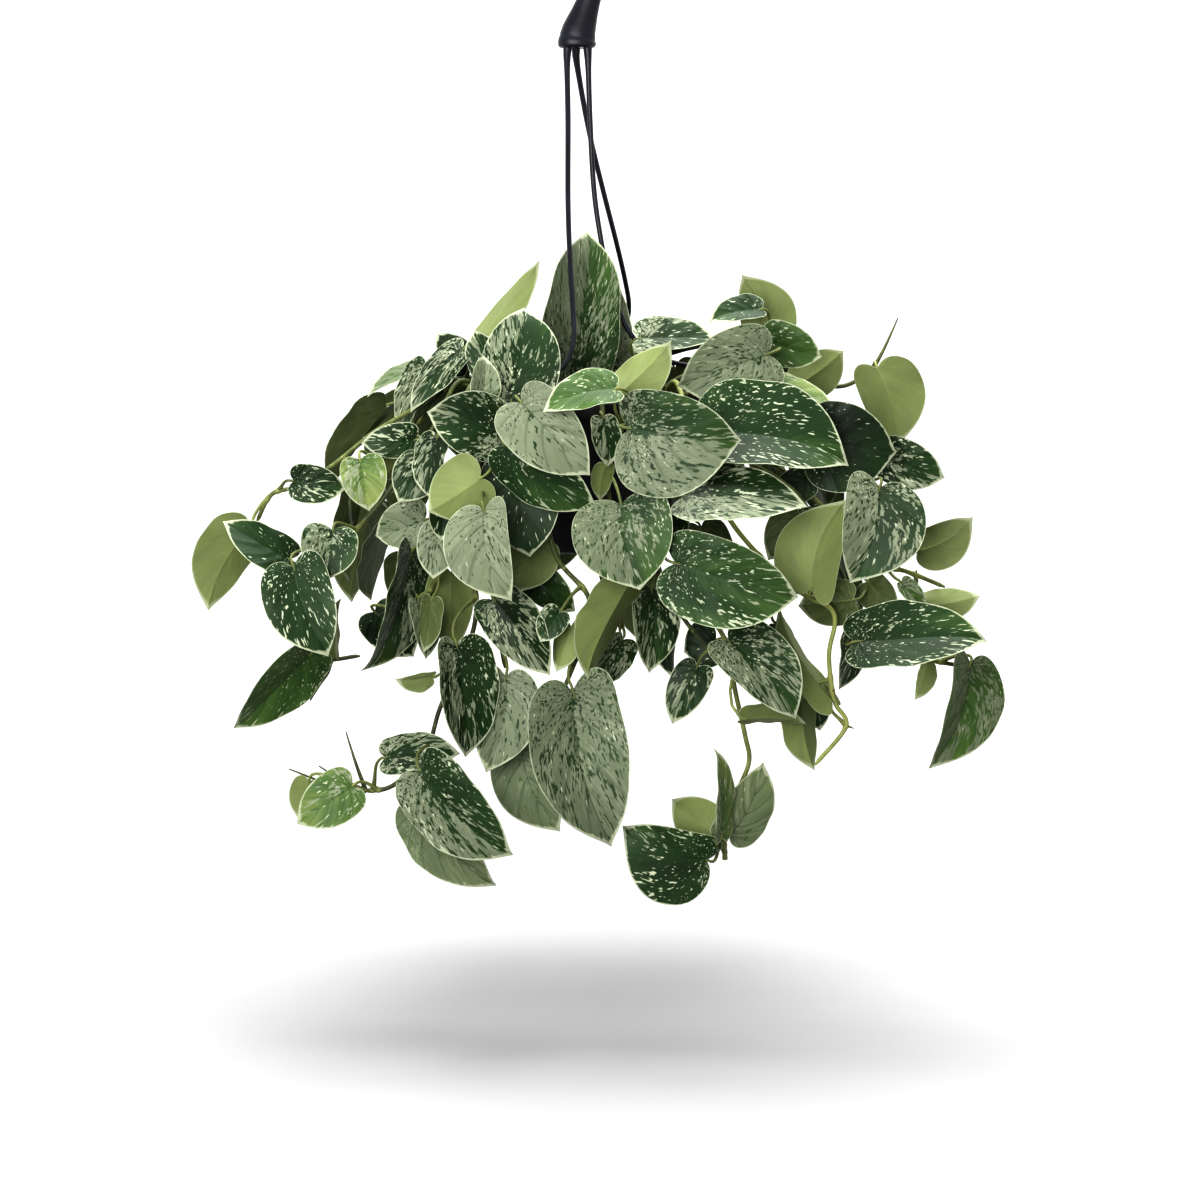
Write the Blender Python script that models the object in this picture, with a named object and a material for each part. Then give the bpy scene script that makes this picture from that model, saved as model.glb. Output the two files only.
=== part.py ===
"""Satin pothos in a hanging pot: a moulded hanger, a pot, soil and leafy trailing stems.

Metres, +Z up. The origin is where the hook's crook bears on what it hangs from, and the pot's axis is the Z axis.
Leaves and stems are laid out as a viewer at -Y sees them: u to the right and v down, in units of UNIT at the
axis, with a depth along Y in millimetres (negative is towards the viewer).
"""
import math
import random

import bmesh
import bpy
from mathutils import Vector
from mathutils.bvhtree import BVHTree

MM = 0.001
UNIT = 0.62 * MM
VIEW_U = 600.0
VIEW_V = 600.0
AXIS_U = 590.0
HOOK_V = -110.0
VIEW_ELEVATION = math.radians(6.0)
VIEW_DISTANCE = 1.9

RIM_Z = -317.0 * MM
RIM_RADIUS = 90.0 * MM
RIM_LIP = 9.0 * MM
POT_HEIGHT = 92.0 * MM
POT_TOP_RADIUS = 84.0 * MM
POT_BASE_RADIUS = 57.0 * MM
POT_WALL = 1.8 * MM
POT_SIDES = 28
DRAIN_COUNT = 4
DRAIN_RADIUS = 4.0 * MM
DRAIN_RING = 36.0 * MM

CROOK_RADIUS = 12.0 * MM
CROOK_HALF = 4.6 * MM
CROOK_STEPS = 10

EYE_ANGLES = (-110.0, 0.0, 100.0)
EYE_REACH = 96.0 * MM
EYE_WIDTH = 13.0 * MM
EYE_THICK = 2.4 * MM
EYE_DROP = 3.0 * MM
EYE_HOLE = 2.3 * MM

SOIL_DROP = 9.0 * MM
SOIL_SIDES = 18
SOIL_LUMP = 1.6 * MM
HOLE_DEPTH = 24.0 * MM
HOLE_RADIUS = 3.2 * MM
GAP = 0.3 * MM

STEM_RADIUS = 1.9 * MM
STEM_SIDES = 3
STEM_STEP = 30.0 * MM
STEM_TAPER = 0.25
SHOOT_RADII = (1.6 * MM, 1.5 * MM, 0.5 * MM)
PETIOLE_HALF = 1.15 * MM
BLADE_THICK = 0.8 * MM
BLADE_RATIO = 0.66
BLADE_ARCH = 0.05
TURN_LIMIT = math.radians(60.0)
BIG_LEAF = 55.0 * MM

SETTLE_ROUNDS = 160
SETTLE_STEP = 1.1 * MM
SETTLE_MARGIN = 0.6 * MM
SAG_LIMIT = 20.0 * MM
SHIFT_LIMIT = 48.0 * MM
STEM_LIMIT = 24.0 * MM

# Half outline and midrib of a blade: along its length from foot 0 to tip 1, and across as a share of half its width.
BIG_EDGE = ((-0.10, 0.50), (0.10, 0.97), (0.44, 0.96), (0.78, 0.52))
BIG_RIB = (0.22, 0.50, 0.80)
SMALL_EDGE = ((-0.07, 0.60), (0.25, 1.0), (0.68, 0.62))
SMALL_RIB = (0.32, 0.66)

# Which face the viewer sees, and whether it is turned up and right or down and left.
TOP_R = (1, 1)
TOP_L = (1, -1)
UNDER_R = (-1, 1)
UNDER_L = (-1, -1)

# Each vine: name, hole angle (degrees), hole radius (mm), its way after the rim as (u, v, depth), its leaves as
# (foot u, foot v, tip u, tip v, width, depth of foot, lean of tip, face), and shoots as (u, v, depth) pairs.
VINES = (
    ("left_arch", -170, 62,
     ((420, 405, -8), (375, 432, -14), (332, 466, -20), (300, 486, -22), (272, 494, -22), (257, 521, -20)),
     ((294, 481, 347, 488, 38, -30, 4, TOP_R),
      (250, 528, 207, 610, 55, -26, -6, UNDER_L)), ()),
    ("left_cascade", -158, 64,
     ((435, 425, -46), (390, 490, -54), (345, 540, -50), (302, 562, -42), (300, 610, -34), (322, 656, -34),
      (360, 656, -30)),
     ((289, 559, 223, 521, 40, -62, -6, TOP_R),
      (333, 530, 326, 580, 54, -72, -8, TOP_R),
      (293, 566, 328, 656, 67, -82, -10, TOP_R),
      (312, 653, 236, 731, 46, -60, -4, TOP_L),
      (334, 655, 338, 598, 18, -40, 0, UNDER_R),
      (328, 657, 309, 700, 22, -42, 4, UNDER_L)), ()),
    ("left_upper", 166, 60,
     ((455, 380, 16), (438, 370, 18), (424, 374, 14), (413, 386, 10)),
     ((462, 350, 410, 412, 30, -8, 0, TOP_R),
      (426, 366, 400, 437, 28, 1, 0, TOP_R),
      (421, 367, 366, 396, 14, 12, 0, TOP_R),
      (468, 366, 436, 333, 34, 22, 5, TOP_R)), ()),
    ("left_shoulder", 178, 46,
     ((440, 392, -4), (415, 420, -14), (398, 445, -18), (375, 462, -20), (352, 490, -20), (353, 538, -22)),
     ((414, 440, 361, 443, 34, -40, -4, TOP_R),
      (360, 460, 369, 511, 44, -50, -4, TOP_L),
      (398, 458, 382, 482, 22, -26, 2, UNDER_R)), ()),
    ("left_inner", -147, 66,
     ((455, 420, -70), (436, 455, -80), (434, 490, -84), (432, 520, -82), (436, 548, -80)),
     ((425, 462, 398, 502, 44, -96, -6, TOP_R),
      (437, 437, 428, 498, 30, -104, -6, TOP_L),
      (446, 505, 441, 541, 28, -108, -4, TOP_R),
      (425, 520, 375, 536, 46, -72, 4, TOP_R),
      (440, 526, 433, 579, 38, -104, -4, TOP_L)), ()),
    ("left_hang", -136, 68,
     ((476, 440, -90), (460, 500, -94), (447, 560, -92), (430, 590, -86), (420, 620, -80)),
     ((482, 403, 484, 355, 27, -104, 14, TOP_R),
      (412, 552, 369, 674, 42, -86, -4, TOP_L),
      (375, 612, 414, 657, 50, -50, 6, TOP_R),
      (419, 602, 427, 659, 26, -86, -2, TOP_R),
      (452, 573, 455, 650, 46, -84, 0, UNDER_R),
      (432, 600, 424, 653, 22, -96, 0, UNDER_L),
      (400, 592, 403, 623, 18, -66, 0, UNDER_R)), ()),
    ("low_left", -127, 68,
     ((487, 440, -98), (477, 500, -100), (475, 570, -96), (475, 622, -92), (459, 668, -92), (440, 708, -92),
      (424, 758, -92), (392, 786, -90), (366, 791, -88)),
     ((457, 646, 468, 757, 54, -126, -6, TOP_R),
      (432, 678, 396, 681, 18, -82, 6, UNDER_R),
      (386, 757, 460, 752, 38, -100, 2, TOP_R),
      (421, 771, 511, 857, 68, -134, -8, TOP_L),
      (417, 806, 493, 890, 56, -106, 0, TOP_L),
      (352, 786, 297, 824, 50, -102, -4, TOP_R),
      (309, 781, 299, 819, 34, -76, 2, UNDER_R)),
     (((352, 786, -88), (346, 732, -84)), ((330, 790, -80), (289, 769, -72)), ((330, 790, -78), (319, 766, -70)))),
    ("centre_silver", -119, 68,
     ((500, 445, -104), (490, 500, -106), (489, 560, -102), (497, 620, -102), (505, 668, -102)),
     ((511, 403, 524, 306, 74, -100, 26, TOP_R),
      (500, 432, 427, 412, 62, -116, -6, TOP_R),
      (481, 478, 428, 512, 58, -130, -4, UNDER_R),
      (484, 510, 512, 601, 60, -148, -6, TOP_R),
      (494, 600, 549, 676, 52, -114, -4, TOP_L),
      (506, 676, 486, 773, 62, -118, -6, TOP_R),
      (516, 462, 530, 557, 72, -120, -4, TOP_R)), ()),
    ("centre_long", -95, 66,
     ((566, 440, -106), (548, 500, -106), (556, 556, -104), (588, 596, -104), (586, 632, -102), (571, 672, -102),
      (556, 706, -102)),
     ((573, 690, 615, 846, 90, -130, -8, TOP_R),
      (521, 745, 560, 832, 60, -102, 0, TOP_L),
      (560, 612, 540, 642, 28, -124, -4, TOP_R),
      (572, 628, 557, 672, 26, -116, -2, UNDER_R),
      (580, 622, 597, 648, 14, -96, 0, UNDER_R)),
     (((588, 597, -104), (601, 617, -102)),)),
    ("centre_top", -102, 60,
     ((540, 432, -102), (530, 460, -104), (528, 500, -104), (530, 548, -100)),
     ((521, 402, 590, 475, 66, -140, -6, TOP_R),
      (506, 446, 597, 507, 56, -128, -4, TOP_L),
      (531, 541, 519, 592, 56, -106, 0, UNDER_R),
      (528, 572, 575, 612, 36, -90, 0, TOP_L)), ()),
    ("centre_heart", -87, 68,
     ((604, 430, -104), (606, 470, -108), (612, 520, -108), (618, 575, -104), (620, 632, -98)),
     ((621, 504, 640, 590, 92, -144, -6, TOP_R),
      (603, 419, 608, 467, 27, -126, -2, TOP_R),
      (605, 466, 600, 501, 20, -122, 0, UNDER_R),
      (629, 581, 583, 677, 40, -122, 4, UNDER_L),
      (622, 640, 580, 691, 32, -98, 2, TOP_L)), ()),
    ("crown_left", -155, 34,
     ((514, 388, -34), (500, 376, -20), (487, 362, -4)),
     ((474, 346, 540, 261, 26, 10, 6, UNDER_R),
      (498, 380, 472, 330, 36, -16, 8, TOP_L)), ()),
    ("crown_centre", -70, 26,
     ((592, 390, -18), (603, 384, -10), (612, 374, 2)),
     ((573, 386, 594, 231, 74, -26, 12, TOP_R),
      (619, 368, 613, 272, 40, 14, 6, TOP_L)), ()),
    ("lime_front", -79, 58,
     ((622, 425, -108), (617, 440, -114)),
     ((614, 389, 543, 412, 34, -150, 0, TOP_R),
      (619, 395, 672, 343, 42, -118, 6, UNDER_R)), ()),
    ("right_grey", -57, 68,
     ((662, 430, -104), (668, 470, -112), (670, 510, -112), (675, 545, -110)),
     ((629, 428, 741, 440, 96, -134, -4, TOP_R),
      (690, 478, 618, 469, 40, -116, 4, TOP_R),
      (684, 496, 808, 503, 52, -134, -4, TOP_R),
      (673, 541, 684, 509, 24, -118, 2, TOP_R),
      (675, 563, 799, 597, 80, -150, -4, TOP_R)), ()),
    ("right_dark", -40, 66,
     ((712, 428, -84), (745, 445, -90), (790, 452, -88), (830, 456, -80), (870, 460, -70)),
     ((706, 432, 850, 462, 78, -118, -2, TOP_R),
      (815, 440, 897, 452, 84, -94, 2, TOP_L),
      (808, 478, 770, 502, 34, -84, 4, TOP_L),
      (884, 456, 945, 478, 46, -78, -2, TOP_R)), ()),
    ("right_top", -10, 52,
     ((722, 385, -18), (745, 374, -24), (765, 364, -28), (770, 346, -24)),
     ((768, 354, 678, 386, 72, -92, -4, TOP_R),
      (757, 392, 838, 407, 28, -80, 2, TOP_R),
      (640, 338, 717, 338, 32, -45, 0, TOP_R),
      (760, 309, 709, 320, 24, -30, 0, TOP_R),
      (766, 340, 822, 357, 42, -52, -2, TOP_R),
      (764, 346, 742, 275, 56, -8, 4, UNDER_R)), ()),
    ("right_high", 12, 58,
     ((735, 374, 14), (770, 378, 2), (805, 383, -8), (843, 386, -14), (872, 371, -15)),
     ((800, 384, 843, 351, 44, -28, 2, UNDER_R),
      (877, 368, 898, 446, 62, -32, -4, UNDER_R)),
     (((872, 371, -15), (898, 318, -10)),)),
    ("right_heart", -31, 68,
     ((735, 440, -56), (785, 472, -72), (835, 520, -80), (868, 562, -74), (905, 571, -64), (945, 587, -60)),
     ((880, 487, 850, 583, 78, -118, -6, TOP_R),
      (918, 551, 973, 517, 44, -70, 2, UNDER_R),
      (926, 606, 980, 596, 32, -62, 0, UNDER_R),
      (902, 583, 926, 612, 18, -74, 0, TOP_R),
      (868, 582, 898, 611, 34, -84, 0, UNDER_L),
      (852, 600, 798, 606, 44, -90, 0, UNDER_R)), ()),
    ("right_far", -22, 66,
     ((748, 425, -46), (790, 480, -54), (835, 560, -60), (862, 618, -62), (890, 650, -64), (940, 662, -60),
      (965, 666, -58)),
     ((857, 641, 987, 633, 60, -100, -4, TOP_R),
      (860, 616, 840, 690, 28, -86, 0, TOP_L),
      (928, 664, 916, 700, 18, -56, 0, UNDER_R),
      (971, 663, 931, 770, 52, -66, -2, TOP_L)), ()),
    ("right_low", -49, 68,
     ((695, 440, -96), (730, 520, -104), (790, 585, -102), (833, 612, -100), (829, 655, -100), (834, 700, -98),
      (846, 726, -96), (815, 765, -94)),
     ((800, 515, 768, 560, 42, -104, 4, UNDER_R),
      (811, 590, 846, 500, 62, -114, 4, UNDER_R),
      (830, 701, 776, 608, 26, -98, 0, UNDER_R),
      (779, 627, 805, 679, 26, -80, 2, TOP_L),
      (728, 640, 797, 718, 60, -128, -6, TOP_R),
      (744, 718, 806, 722, 18, -112, 0, UNDER_L),
      (801, 700, 812, 770, 34, -90, -2, UNDER_R),
      (816, 690, 820, 731, 28, -82, 0, TOP_L)), ()),
    ("low_right", -65, 54,
     ((648, 450, -104), (668, 520, -108), (700, 600, -104), (725, 640, -100), (735, 690, -98), (745, 735, -96),
      (749, 762, -95), (736, 795, -95), (725, 830, -95), (725, 859, -95)),
     ((717, 834, 672, 799, 46, -102, 2, UNDER_L),
      (729, 836, 763, 762, 46, -110, 2, TOP_L),
      (722, 834, 718, 749, 17, -120, 0, TOP_R),
      (707, 860, 623, 826, 72, -114, -4, TOP_L)), ()),
    ("centre_dark", -72, 70,
     ((636, 440, -104), (648, 500, -104), (655, 560, -98), (672, 600, -96), (700, 640, -94), (718, 655, -92)),
     ((652, 590, 650, 673, 44, -96, 0, TOP_R),
      (672, 602, 672, 680, 26, -84, 0, TOP_L),
      (697, 667, 671, 724, 38, -90, -2, TOP_R),
      (716, 640, 684, 652, 46, -78, 4, TOP_R)), ()),
)

# Vines behind the pot: name, angle (degrees), hole radius (mm), length below the rim (mm), leaves and seed.
BACK_VINES = (
    ("back_right_high", 25, 62, 92, 5, 11),
    ("back_right", 46, 60, 132, 5, 12),
    ("back_right_inner", 67, 62, 100, 5, 13),
    ("back_centre", 88, 60, 134, 5, 14),
    ("back_centre_left", 110, 62, 104, 5, 15),
    ("back_left", 132, 60, 128, 5, 16),
    ("back_left_high", 152, 62, 94, 5, 17),
)
CROWN_BACK = ("crown_back", 95, 24, 18)
CROWN_TURNS = (5, 45, 108, 146)


def clear_scene():
    """Remove every object so that the file holds only this model."""
    for item in list(bpy.data.objects):
        bpy.data.objects.remove(item, do_unlink=True)


def view_centre():
    """Return the point that the viewer looks at."""
    height = -(VIEW_V - HOOK_V) * UNIT / math.cos(VIEW_ELEVATION)
    return Vector(((VIEW_U - AXIS_U) * UNIT, 0.0, height))


def view_eye():
    """Return the viewer's place."""
    back = Vector((0.0, -math.cos(VIEW_ELEVATION), math.sin(VIEW_ELEVATION)))
    return view_centre() + back * VIEW_DISTANCE


def at(u, v, depth):
    """Return the world point seen at (u, v) whose Y is depth in millimetres."""
    y = depth * MM
    cos_e = math.cos(VIEW_ELEVATION)
    sin_e = math.sin(VIEW_ELEVATION)
    slope = (VIEW_V - v) * UNIT / VIEW_DISTANCE
    rise = (slope * (VIEW_DISTANCE + y * cos_e) - y * sin_e) / (cos_e + slope * sin_e)
    along = VIEW_DISTANCE + y * cos_e - rise * sin_e
    centre = view_centre()
    return Vector((centre.x + (u - VIEW_U) * UNIT * along / VIEW_DISTANCE, y, centre.z + rise))


def around(radius, angle, z):
    """Return a point at a radius and an angle in degrees about the pot's axis."""
    turn = math.radians(angle)
    return Vector((radius * math.cos(turn), radius * math.sin(turn), z))


def span_counts(points, step):
    """Return how many steps fit between each point and the next."""
    return [max(1, round((b - a).length / step)) for a, b in zip(points, points[1:])]


def smooth_line(points, counts):
    """Return points on a Catmull-Rom curve through the given points, with a count of steps between each two."""
    line = [points[0].copy()]
    for i, count in enumerate(counts):
        p1, p2 = points[i], points[i + 1]
        p0 = points[i - 1] if i else p1 * 2 - p2
        p3 = points[i + 2] if i + 2 < len(points) else p2 * 2 - p1
        for k in range(1, count + 1):
            t = k / count
            line.append(0.5 * (2 * p1 + (p2 - p0) * t + (2 * p0 - 5 * p1 + 4 * p2 - p3) * t * t
                               + (3 * p1 - p0 - 3 * p2 + p3) * t ** 3))
    return line


def tube(line, radii, sides):
    """Return the corners and faces of a closed tube along a line."""
    tangents = []
    for i in range(len(line)):
        tangents.append((line[min(i + 1, len(line) - 1)] - line[max(i - 1, 0)]).normalized())
    start = Vector((0, 0, 1)) if abs(tangents[0].z) < 0.8 else Vector((1, 0, 0))
    side = tangents[0].cross(start).normalized()
    corners = []
    for point, tangent, radius in zip(line, tangents, radii):
        side = (side - tangent * side.dot(tangent)).normalized()
        other = tangent.cross(side)
        for k in range(sides):
            turn = 2 * math.pi * k / sides
            corners.append(point + (side * math.cos(turn) + other * math.sin(turn)) * radius)
    faces = []
    for i in range(len(line) - 1):
        for k in range(sides):
            a, b = i * sides + k, i * sides + (k + 1) % sides
            faces.append((a, b, b + sides, a + sides))
    faces.append(tuple(reversed(range(sides))))
    faces.append(tuple(range(len(corners) - sides, len(corners))))
    return corners, faces


class Leaf:
    """One leaf blade: its foot, its tip, the way its upper face looks, and how far it has been moved."""

    def __init__(self, foot, tip, normal, width, push, seed):
        draw = random.Random(seed)
        self.foot, self.tip = foot, tip
        self.length = (tip - foot).length
        self.axis = (tip - foot).normalized()
        self.normal = (normal - self.axis * normal.dot(self.axis)).normalized()
        self.across = self.normal.cross(self.axis)
        self.width = width
        self.push = push
        self.fold = draw.uniform(0.16, 0.30)
        self.skew = draw.uniform(-0.07, 0.07)
        self.wave = draw.uniform(0.02, 0.06)
        self.phase = draw.uniform(0.0, 6.28)
        self.shift = 0.0
        self.sag = 0.0
        self.joint = 0

    def surface(self, t, s):
        """Return the point of the blade's middle surface at share t of its length and s of its half width."""
        half = 0.5 * self.width * (1.0 + self.skew * math.copysign(1.0, s))
        bow = BLADE_ARCH * self.length * 4.0 * t * (1.0 - t)
        lift = self.fold * half * abs(s) ** 1.5
        ripple = self.wave * half * s * s * math.sin(9.0 * t + self.phase * math.copysign(1.0, s))
        return (self.foot + self.push * self.shift + self.axis * (self.length * t) + self.across * (half * s)
                + self.normal * (bow + lift + ripple))

    def solid(self, margin=0.0):
        """Return the corners and faces of the blade, split alike on both faces."""
        big = self.length > BIG_LEAF
        edge, rib = (BIG_EDGE, BIG_RIB) if big else (SMALL_EDGE, SMALL_RIB)
        neck = 2.0 * PETIOLE_HALF / self.width
        marks = [(0.0, neck), (0.0, -neck)] + [(t, 0.0) for t in rib] + [(1.0, 0.0)]
        spine = list(range(2, len(marks)))
        right = list(range(len(marks), len(marks) + len(edge)))
        left = [k + len(edge) for k in right]
        marks += [(t, s) for t, s in edge] + [(t, -s) for t, s in edge]
        top = [(0, 1, 2)] + zipper(marks, [0] + spine, right, True) + zipper(marks, [1] + spine, left, False)
        points = [self.surface(t, s) for t, s in marks]
        normals = corner_normals(points, top)
        half = 0.5 * BLADE_THICK + margin
        count = len(points)
        corners = [p + n * half for p, n in zip(points, normals)] + [p - n * half for p, n in zip(points, normals)]
        faces = list(top) + [(c + count, b + count, a + count) for a, b, c in top]
        loop = [0] + right + [spine[-1]] + left[::-1] + [1]
        for a, b in zip(loop, loop[1:]):
            faces.append((a, b, a + count))
            faces.append((b, b + count, a + count))
        return corners, faces, (0, 1, 1 + count, count)

    def body(self, start):
        """Return the corners and faces of the blade with its petiole, one closed skin."""
        corners, faces, neck = self.solid()
        ring = list(neck)
        for points in self.stalk(start)[1:]:
            fresh = list(range(len(corners), len(corners) + 4))
            corners += points
            for k in range(4):
                faces.append((ring[k], ring[(k + 1) % 4], fresh[(k + 1) % 4], fresh[k]))
            ring = fresh
        faces.append(tuple(ring))
        return corners, faces

    def blade(self, margin):
        """Return the corners and faces of the blade alone, closed at its foot."""
        corners, faces, neck = self.solid(margin)
        return corners, faces + [neck]

    def stalk(self, start, margin=0.0):
        """Return the petiole's square sections, from the blade's foot to a point of the stem."""
        foot = self.foot + self.push * self.shift
        reach = (foot - start).length
        bank = self.normal * math.copysign(reach, (start - foot).dot(self.normal))
        neck = foot - self.axis * (2.5 * MM) + bank.normalized() * (0.6 * MM)
        back = self.axis * (0.24 * reach)
        bend = start + (foot - start) * 0.35 + bank * 0.12 + self.push * self.sag
        bend += Vector((0.0, 0.0, 0.12 * reach))
        near = neck - back + bank * 0.20 + self.push * (0.6 * self.sag)
        count = 1 if reach < 18.0 * MM else 2
        line = [foot]
        for k in range(count + 1):
            t = 1.0 - k / count
            line.append(start * (1 - t) ** 3 + bend * (3 * t * (1 - t) ** 2) + near * (3 * t * t * (1 - t))
                        + neck * t ** 3)
        return square_rings(line, self.across, PETIOLE_HALF + margin)


def square_rings(line, side, half):
    """Return a square section at each point of a line, turned as little as possible from one to the next."""
    rings = []
    for i, point in enumerate(line):
        along = (line[min(i + 1, len(line) - 1)] - line[max(i - 1, 0)]).normalized()
        side = (side - along * side.dot(along)).normalized()
        up = side.cross(along) * half
        wide = side * half
        rings.append([point + wide + up, point - wide + up, point - wide - up, point + wide - up])
    return rings


def ring_tube(rings):
    """Return the corners and faces of a closed tube through square sections."""
    corners = [p for ring in rings for p in ring]
    faces = [(3, 2, 1, 0), tuple(range(len(corners) - 4, len(corners)))]
    for i in range(len(rings) - 1):
        for k in range(4):
            a, b = 4 * i + k, 4 * i + (k + 1) % 4
            faces.append((a, b, b + 4, a + 4))
    return corners, faces


def zipper(marks, spine, edge, flip):
    """Return the triangles between a midrib and one edge, taking the nearer next point each time."""
    triangles = []
    a, b = 0, 0
    while a < len(spine) - 1 or b < len(edge) - 1:
        on_edge = b < len(edge) - 1 and (a == len(spine) - 1 or marks[edge[b + 1]][0] <= marks[spine[a + 1]][0])
        third = edge[b + 1] if on_edge else spine[a + 1]
        face = (spine[a], edge[b], third)
        triangles.append(face[::-1] if flip else face)
        if on_edge:
            b += 1
        else:
            a += 1
    return triangles


def corner_normals(points, triangles):
    """Return each corner's normal, the mean of its triangles' normals."""
    normals = [Vector((0, 0, 0)) for _ in points]
    for a, b, c in triangles:
        normal = (points[b] - points[a]).cross(points[c] - points[a])
        for k in (a, b, c):
            normals[k] += normal
    return [n.normalized() for n in normals]


class Vine:
    """One leafy stem: its line's own points, how far each has been moved, its leaves and its shoots."""

    def __init__(self, name, angle, radius, points, pushes):
        self.name = name
        self.hole = around(radius * MM, angle, 0.0)
        soil = RIM_Z - SOIL_DROP
        crest = math.degrees(math.atan2(points[0].y, points[0].x))
        self.points = [self.hole + Vector((0, 0, soil - HOLE_DEPTH + GAP)), self.hole + Vector((0, 0, soil - 8 * MM)),
                       self.hole + Vector((0, 0, soil + 8 * MM))]
        if Vector(points[0][:2]).length > RIM_RADIUS:
            self.points.append(around(RIM_RADIUS - 4 * MM, 0.5 * (angle + nearest_turn(crest, angle)),
                                      RIM_Z + 11 * MM))
        self.fixed = len(self.points)
        self.points += points
        self.counts = span_counts(self.points, STEM_STEP)
        self.pushes = [Vector((0, 0, 0))] * self.fixed + pushes
        self.shifts = [0.0] * len(self.points)
        self.floor = -STEM_LIMIT
        self.leaves = []
        self.shoots = []

    def line(self):
        """Return the stem's middle line as it now lies."""
        moved = [p + d * s for p, d, s in zip(self.points, self.pushes, self.shifts)]
        return smooth_line(moved, self.counts)

    def spans(self):
        """Return, for each stretch between two of the stem's own points, its first and last place on the line."""
        spans, start = [], 0
        for count in self.counts:
            spans.append((start, start + count))
            start += count
        return spans


def nearest_turn(angle, reference):
    """Return the angle written within half a turn of a reference."""
    return reference + (angle - reference + 180.0) % 360.0 - 180.0


def seen_leaf(row, seed):
    """Return the leaf that a row of the layout describes."""
    foot_u, foot_v, tip_u, tip_v, width, depth, lean, (face, turn) = row
    foot = at(foot_u, foot_v, depth)
    tip = at(tip_u, tip_v, depth + lean)
    middle = (foot + tip) * 0.5
    toward = (view_eye() - middle).normalized()
    axis = (tip - foot).normalized()
    facing = (toward - axis * toward.dot(axis)).normalized()
    rise = facing.cross(axis)
    if rise.dot(Vector((0.2, 0.0, 1.0))) < 0:
        rise = -rise
    seen = width * UNIT
    full = min(max(seen, BLADE_RATIO * (tip - foot).length), seen / math.cos(TURN_LIMIT))
    angle = turn * math.acos(seen / full)
    normal = (facing * math.cos(angle) + rise * math.sin(angle)) * face
    return Leaf(foot, tip, normal, full, -toward, seed)


def seen_vines():
    """Return the vines of the layout."""
    vines = []
    for number, (name, angle, radius, way, rows, shoots) in enumerate(VINES):
        points = [at(u, v, depth) for u, v, depth in way]
        pushes = [(p - view_eye()).normalized() for p in points]
        vine = Vine(name, angle, radius, points, pushes)
        vine.leaves = [seen_leaf(row, 100 * number + k) for k, row in enumerate(rows)]
        vine.shoots = [(at(*a), at(*b)) for a, b in shoots]
        vines.append(vine)
    return vines


def back_vine(name, angle, radius, drop, count, seed):
    """Return a vine that hangs behind the pot, with alternate leaves along it."""
    draw = random.Random(seed)
    out = around(1.0, angle, 0.0)
    side = Vector((-out.y, out.x, 0.0))
    reach = 30 if seed % 2 else 84
    points = []
    for k in range(5):
        share = k / 4
        wander = draw.uniform(-9, 9) * MM * share
        points.append(out * (104 + reach * math.sin(1.9 * share)) * MM + side * wander
                      + Vector((0, 0, RIM_Z + 4 * MM - drop * MM * share ** 1.3)))
    vine = Vine(name, angle, radius, points, [out] * len(points))
    vine.floor = 0.0
    line = smooth_line(points, span_counts(points, STEM_STEP))
    for k in range(count):
        place = line[round((k + 0.6) / count * (len(line) - 1))]
        hand = 1.0 if k % 2 else -1.0
        length = draw.uniform(46, 68) * MM
        foot = place + side * (hand * draw.uniform(8, 14) * MM) + out * (draw.uniform(14, 24) * MM)
        foot.z += draw.uniform(2, 14) * MM
        aim = out * draw.uniform(0.1, 0.35) + side * (hand * draw.uniform(0.05, 0.32))
        aim.z = -draw.uniform(0.5, 1.1)
        normal = out + Vector((0, 0, draw.uniform(0.3, 0.9))) + side * draw.uniform(-0.3, 0.3)
        width = length * draw.uniform(0.66, 0.76)
        vine.leaves.append(Leaf(foot, foot + aim.normalized() * length, normal, width, out, 100 * seed + k))
    return vine


def crown_vine(name, angle, radius, seed):
    """Return the short vine whose leaves stand over the soil behind the middle of the pot."""
    draw = random.Random(seed)
    start = around(radius * MM, angle, RIM_Z + 10 * MM)
    points = [start + Vector((-4 * MM, 10 * MM, 12 * MM)), start + Vector((6 * MM, 22 * MM, 26 * MM))]
    vine = Vine(name, angle, radius, points, [Vector((0, 1, 0))] * 2)
    for k in range(len(CROWN_TURNS)):
        turn = CROWN_TURNS[k] + draw.uniform(-5, 5)
        out = around(1.0, turn, 0.0)
        foot = start + out * (draw.uniform(20, 34) * MM) + Vector((0, 0, draw.uniform(8, 22) * MM))
        length = draw.uniform(48, 66) * MM
        aim = out * draw.uniform(0.6, 0.9) + Vector((0, 0, draw.uniform(0.0, 0.3)))
        normal = Vector((0, 0, 1.0)) - out * draw.uniform(0.1, 0.5)
        vine.leaves.append(Leaf(foot, foot + aim.normalized() * length, normal, 0.68 * length, out, 100 * seed + k))
    return vine


def set_joints(vine):
    """Give each leaf the place on its stem's line from which its petiole grows."""
    line = vine.line()
    first = vine.spans()[1][1] if vine.fixed == 3 else vine.spans()[2][1]
    places = [4 * first + k for k in range(4 * (len(line) - 1 - first) + 1)]
    for leaf in vine.leaves:
        goal = leaf.foot - leaf.axis * (0.35 * leaf.length)
        places.sort(key=lambda k: (joint_point(line, k) - goal).length)
        free = [k for k in places if not crosses_itself(*leaf.body(joint_point(line, k)))]
        leaf.joint = free[0] if free else places[0]
        if len(places) > 1:
            places.remove(leaf.joint)


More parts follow.
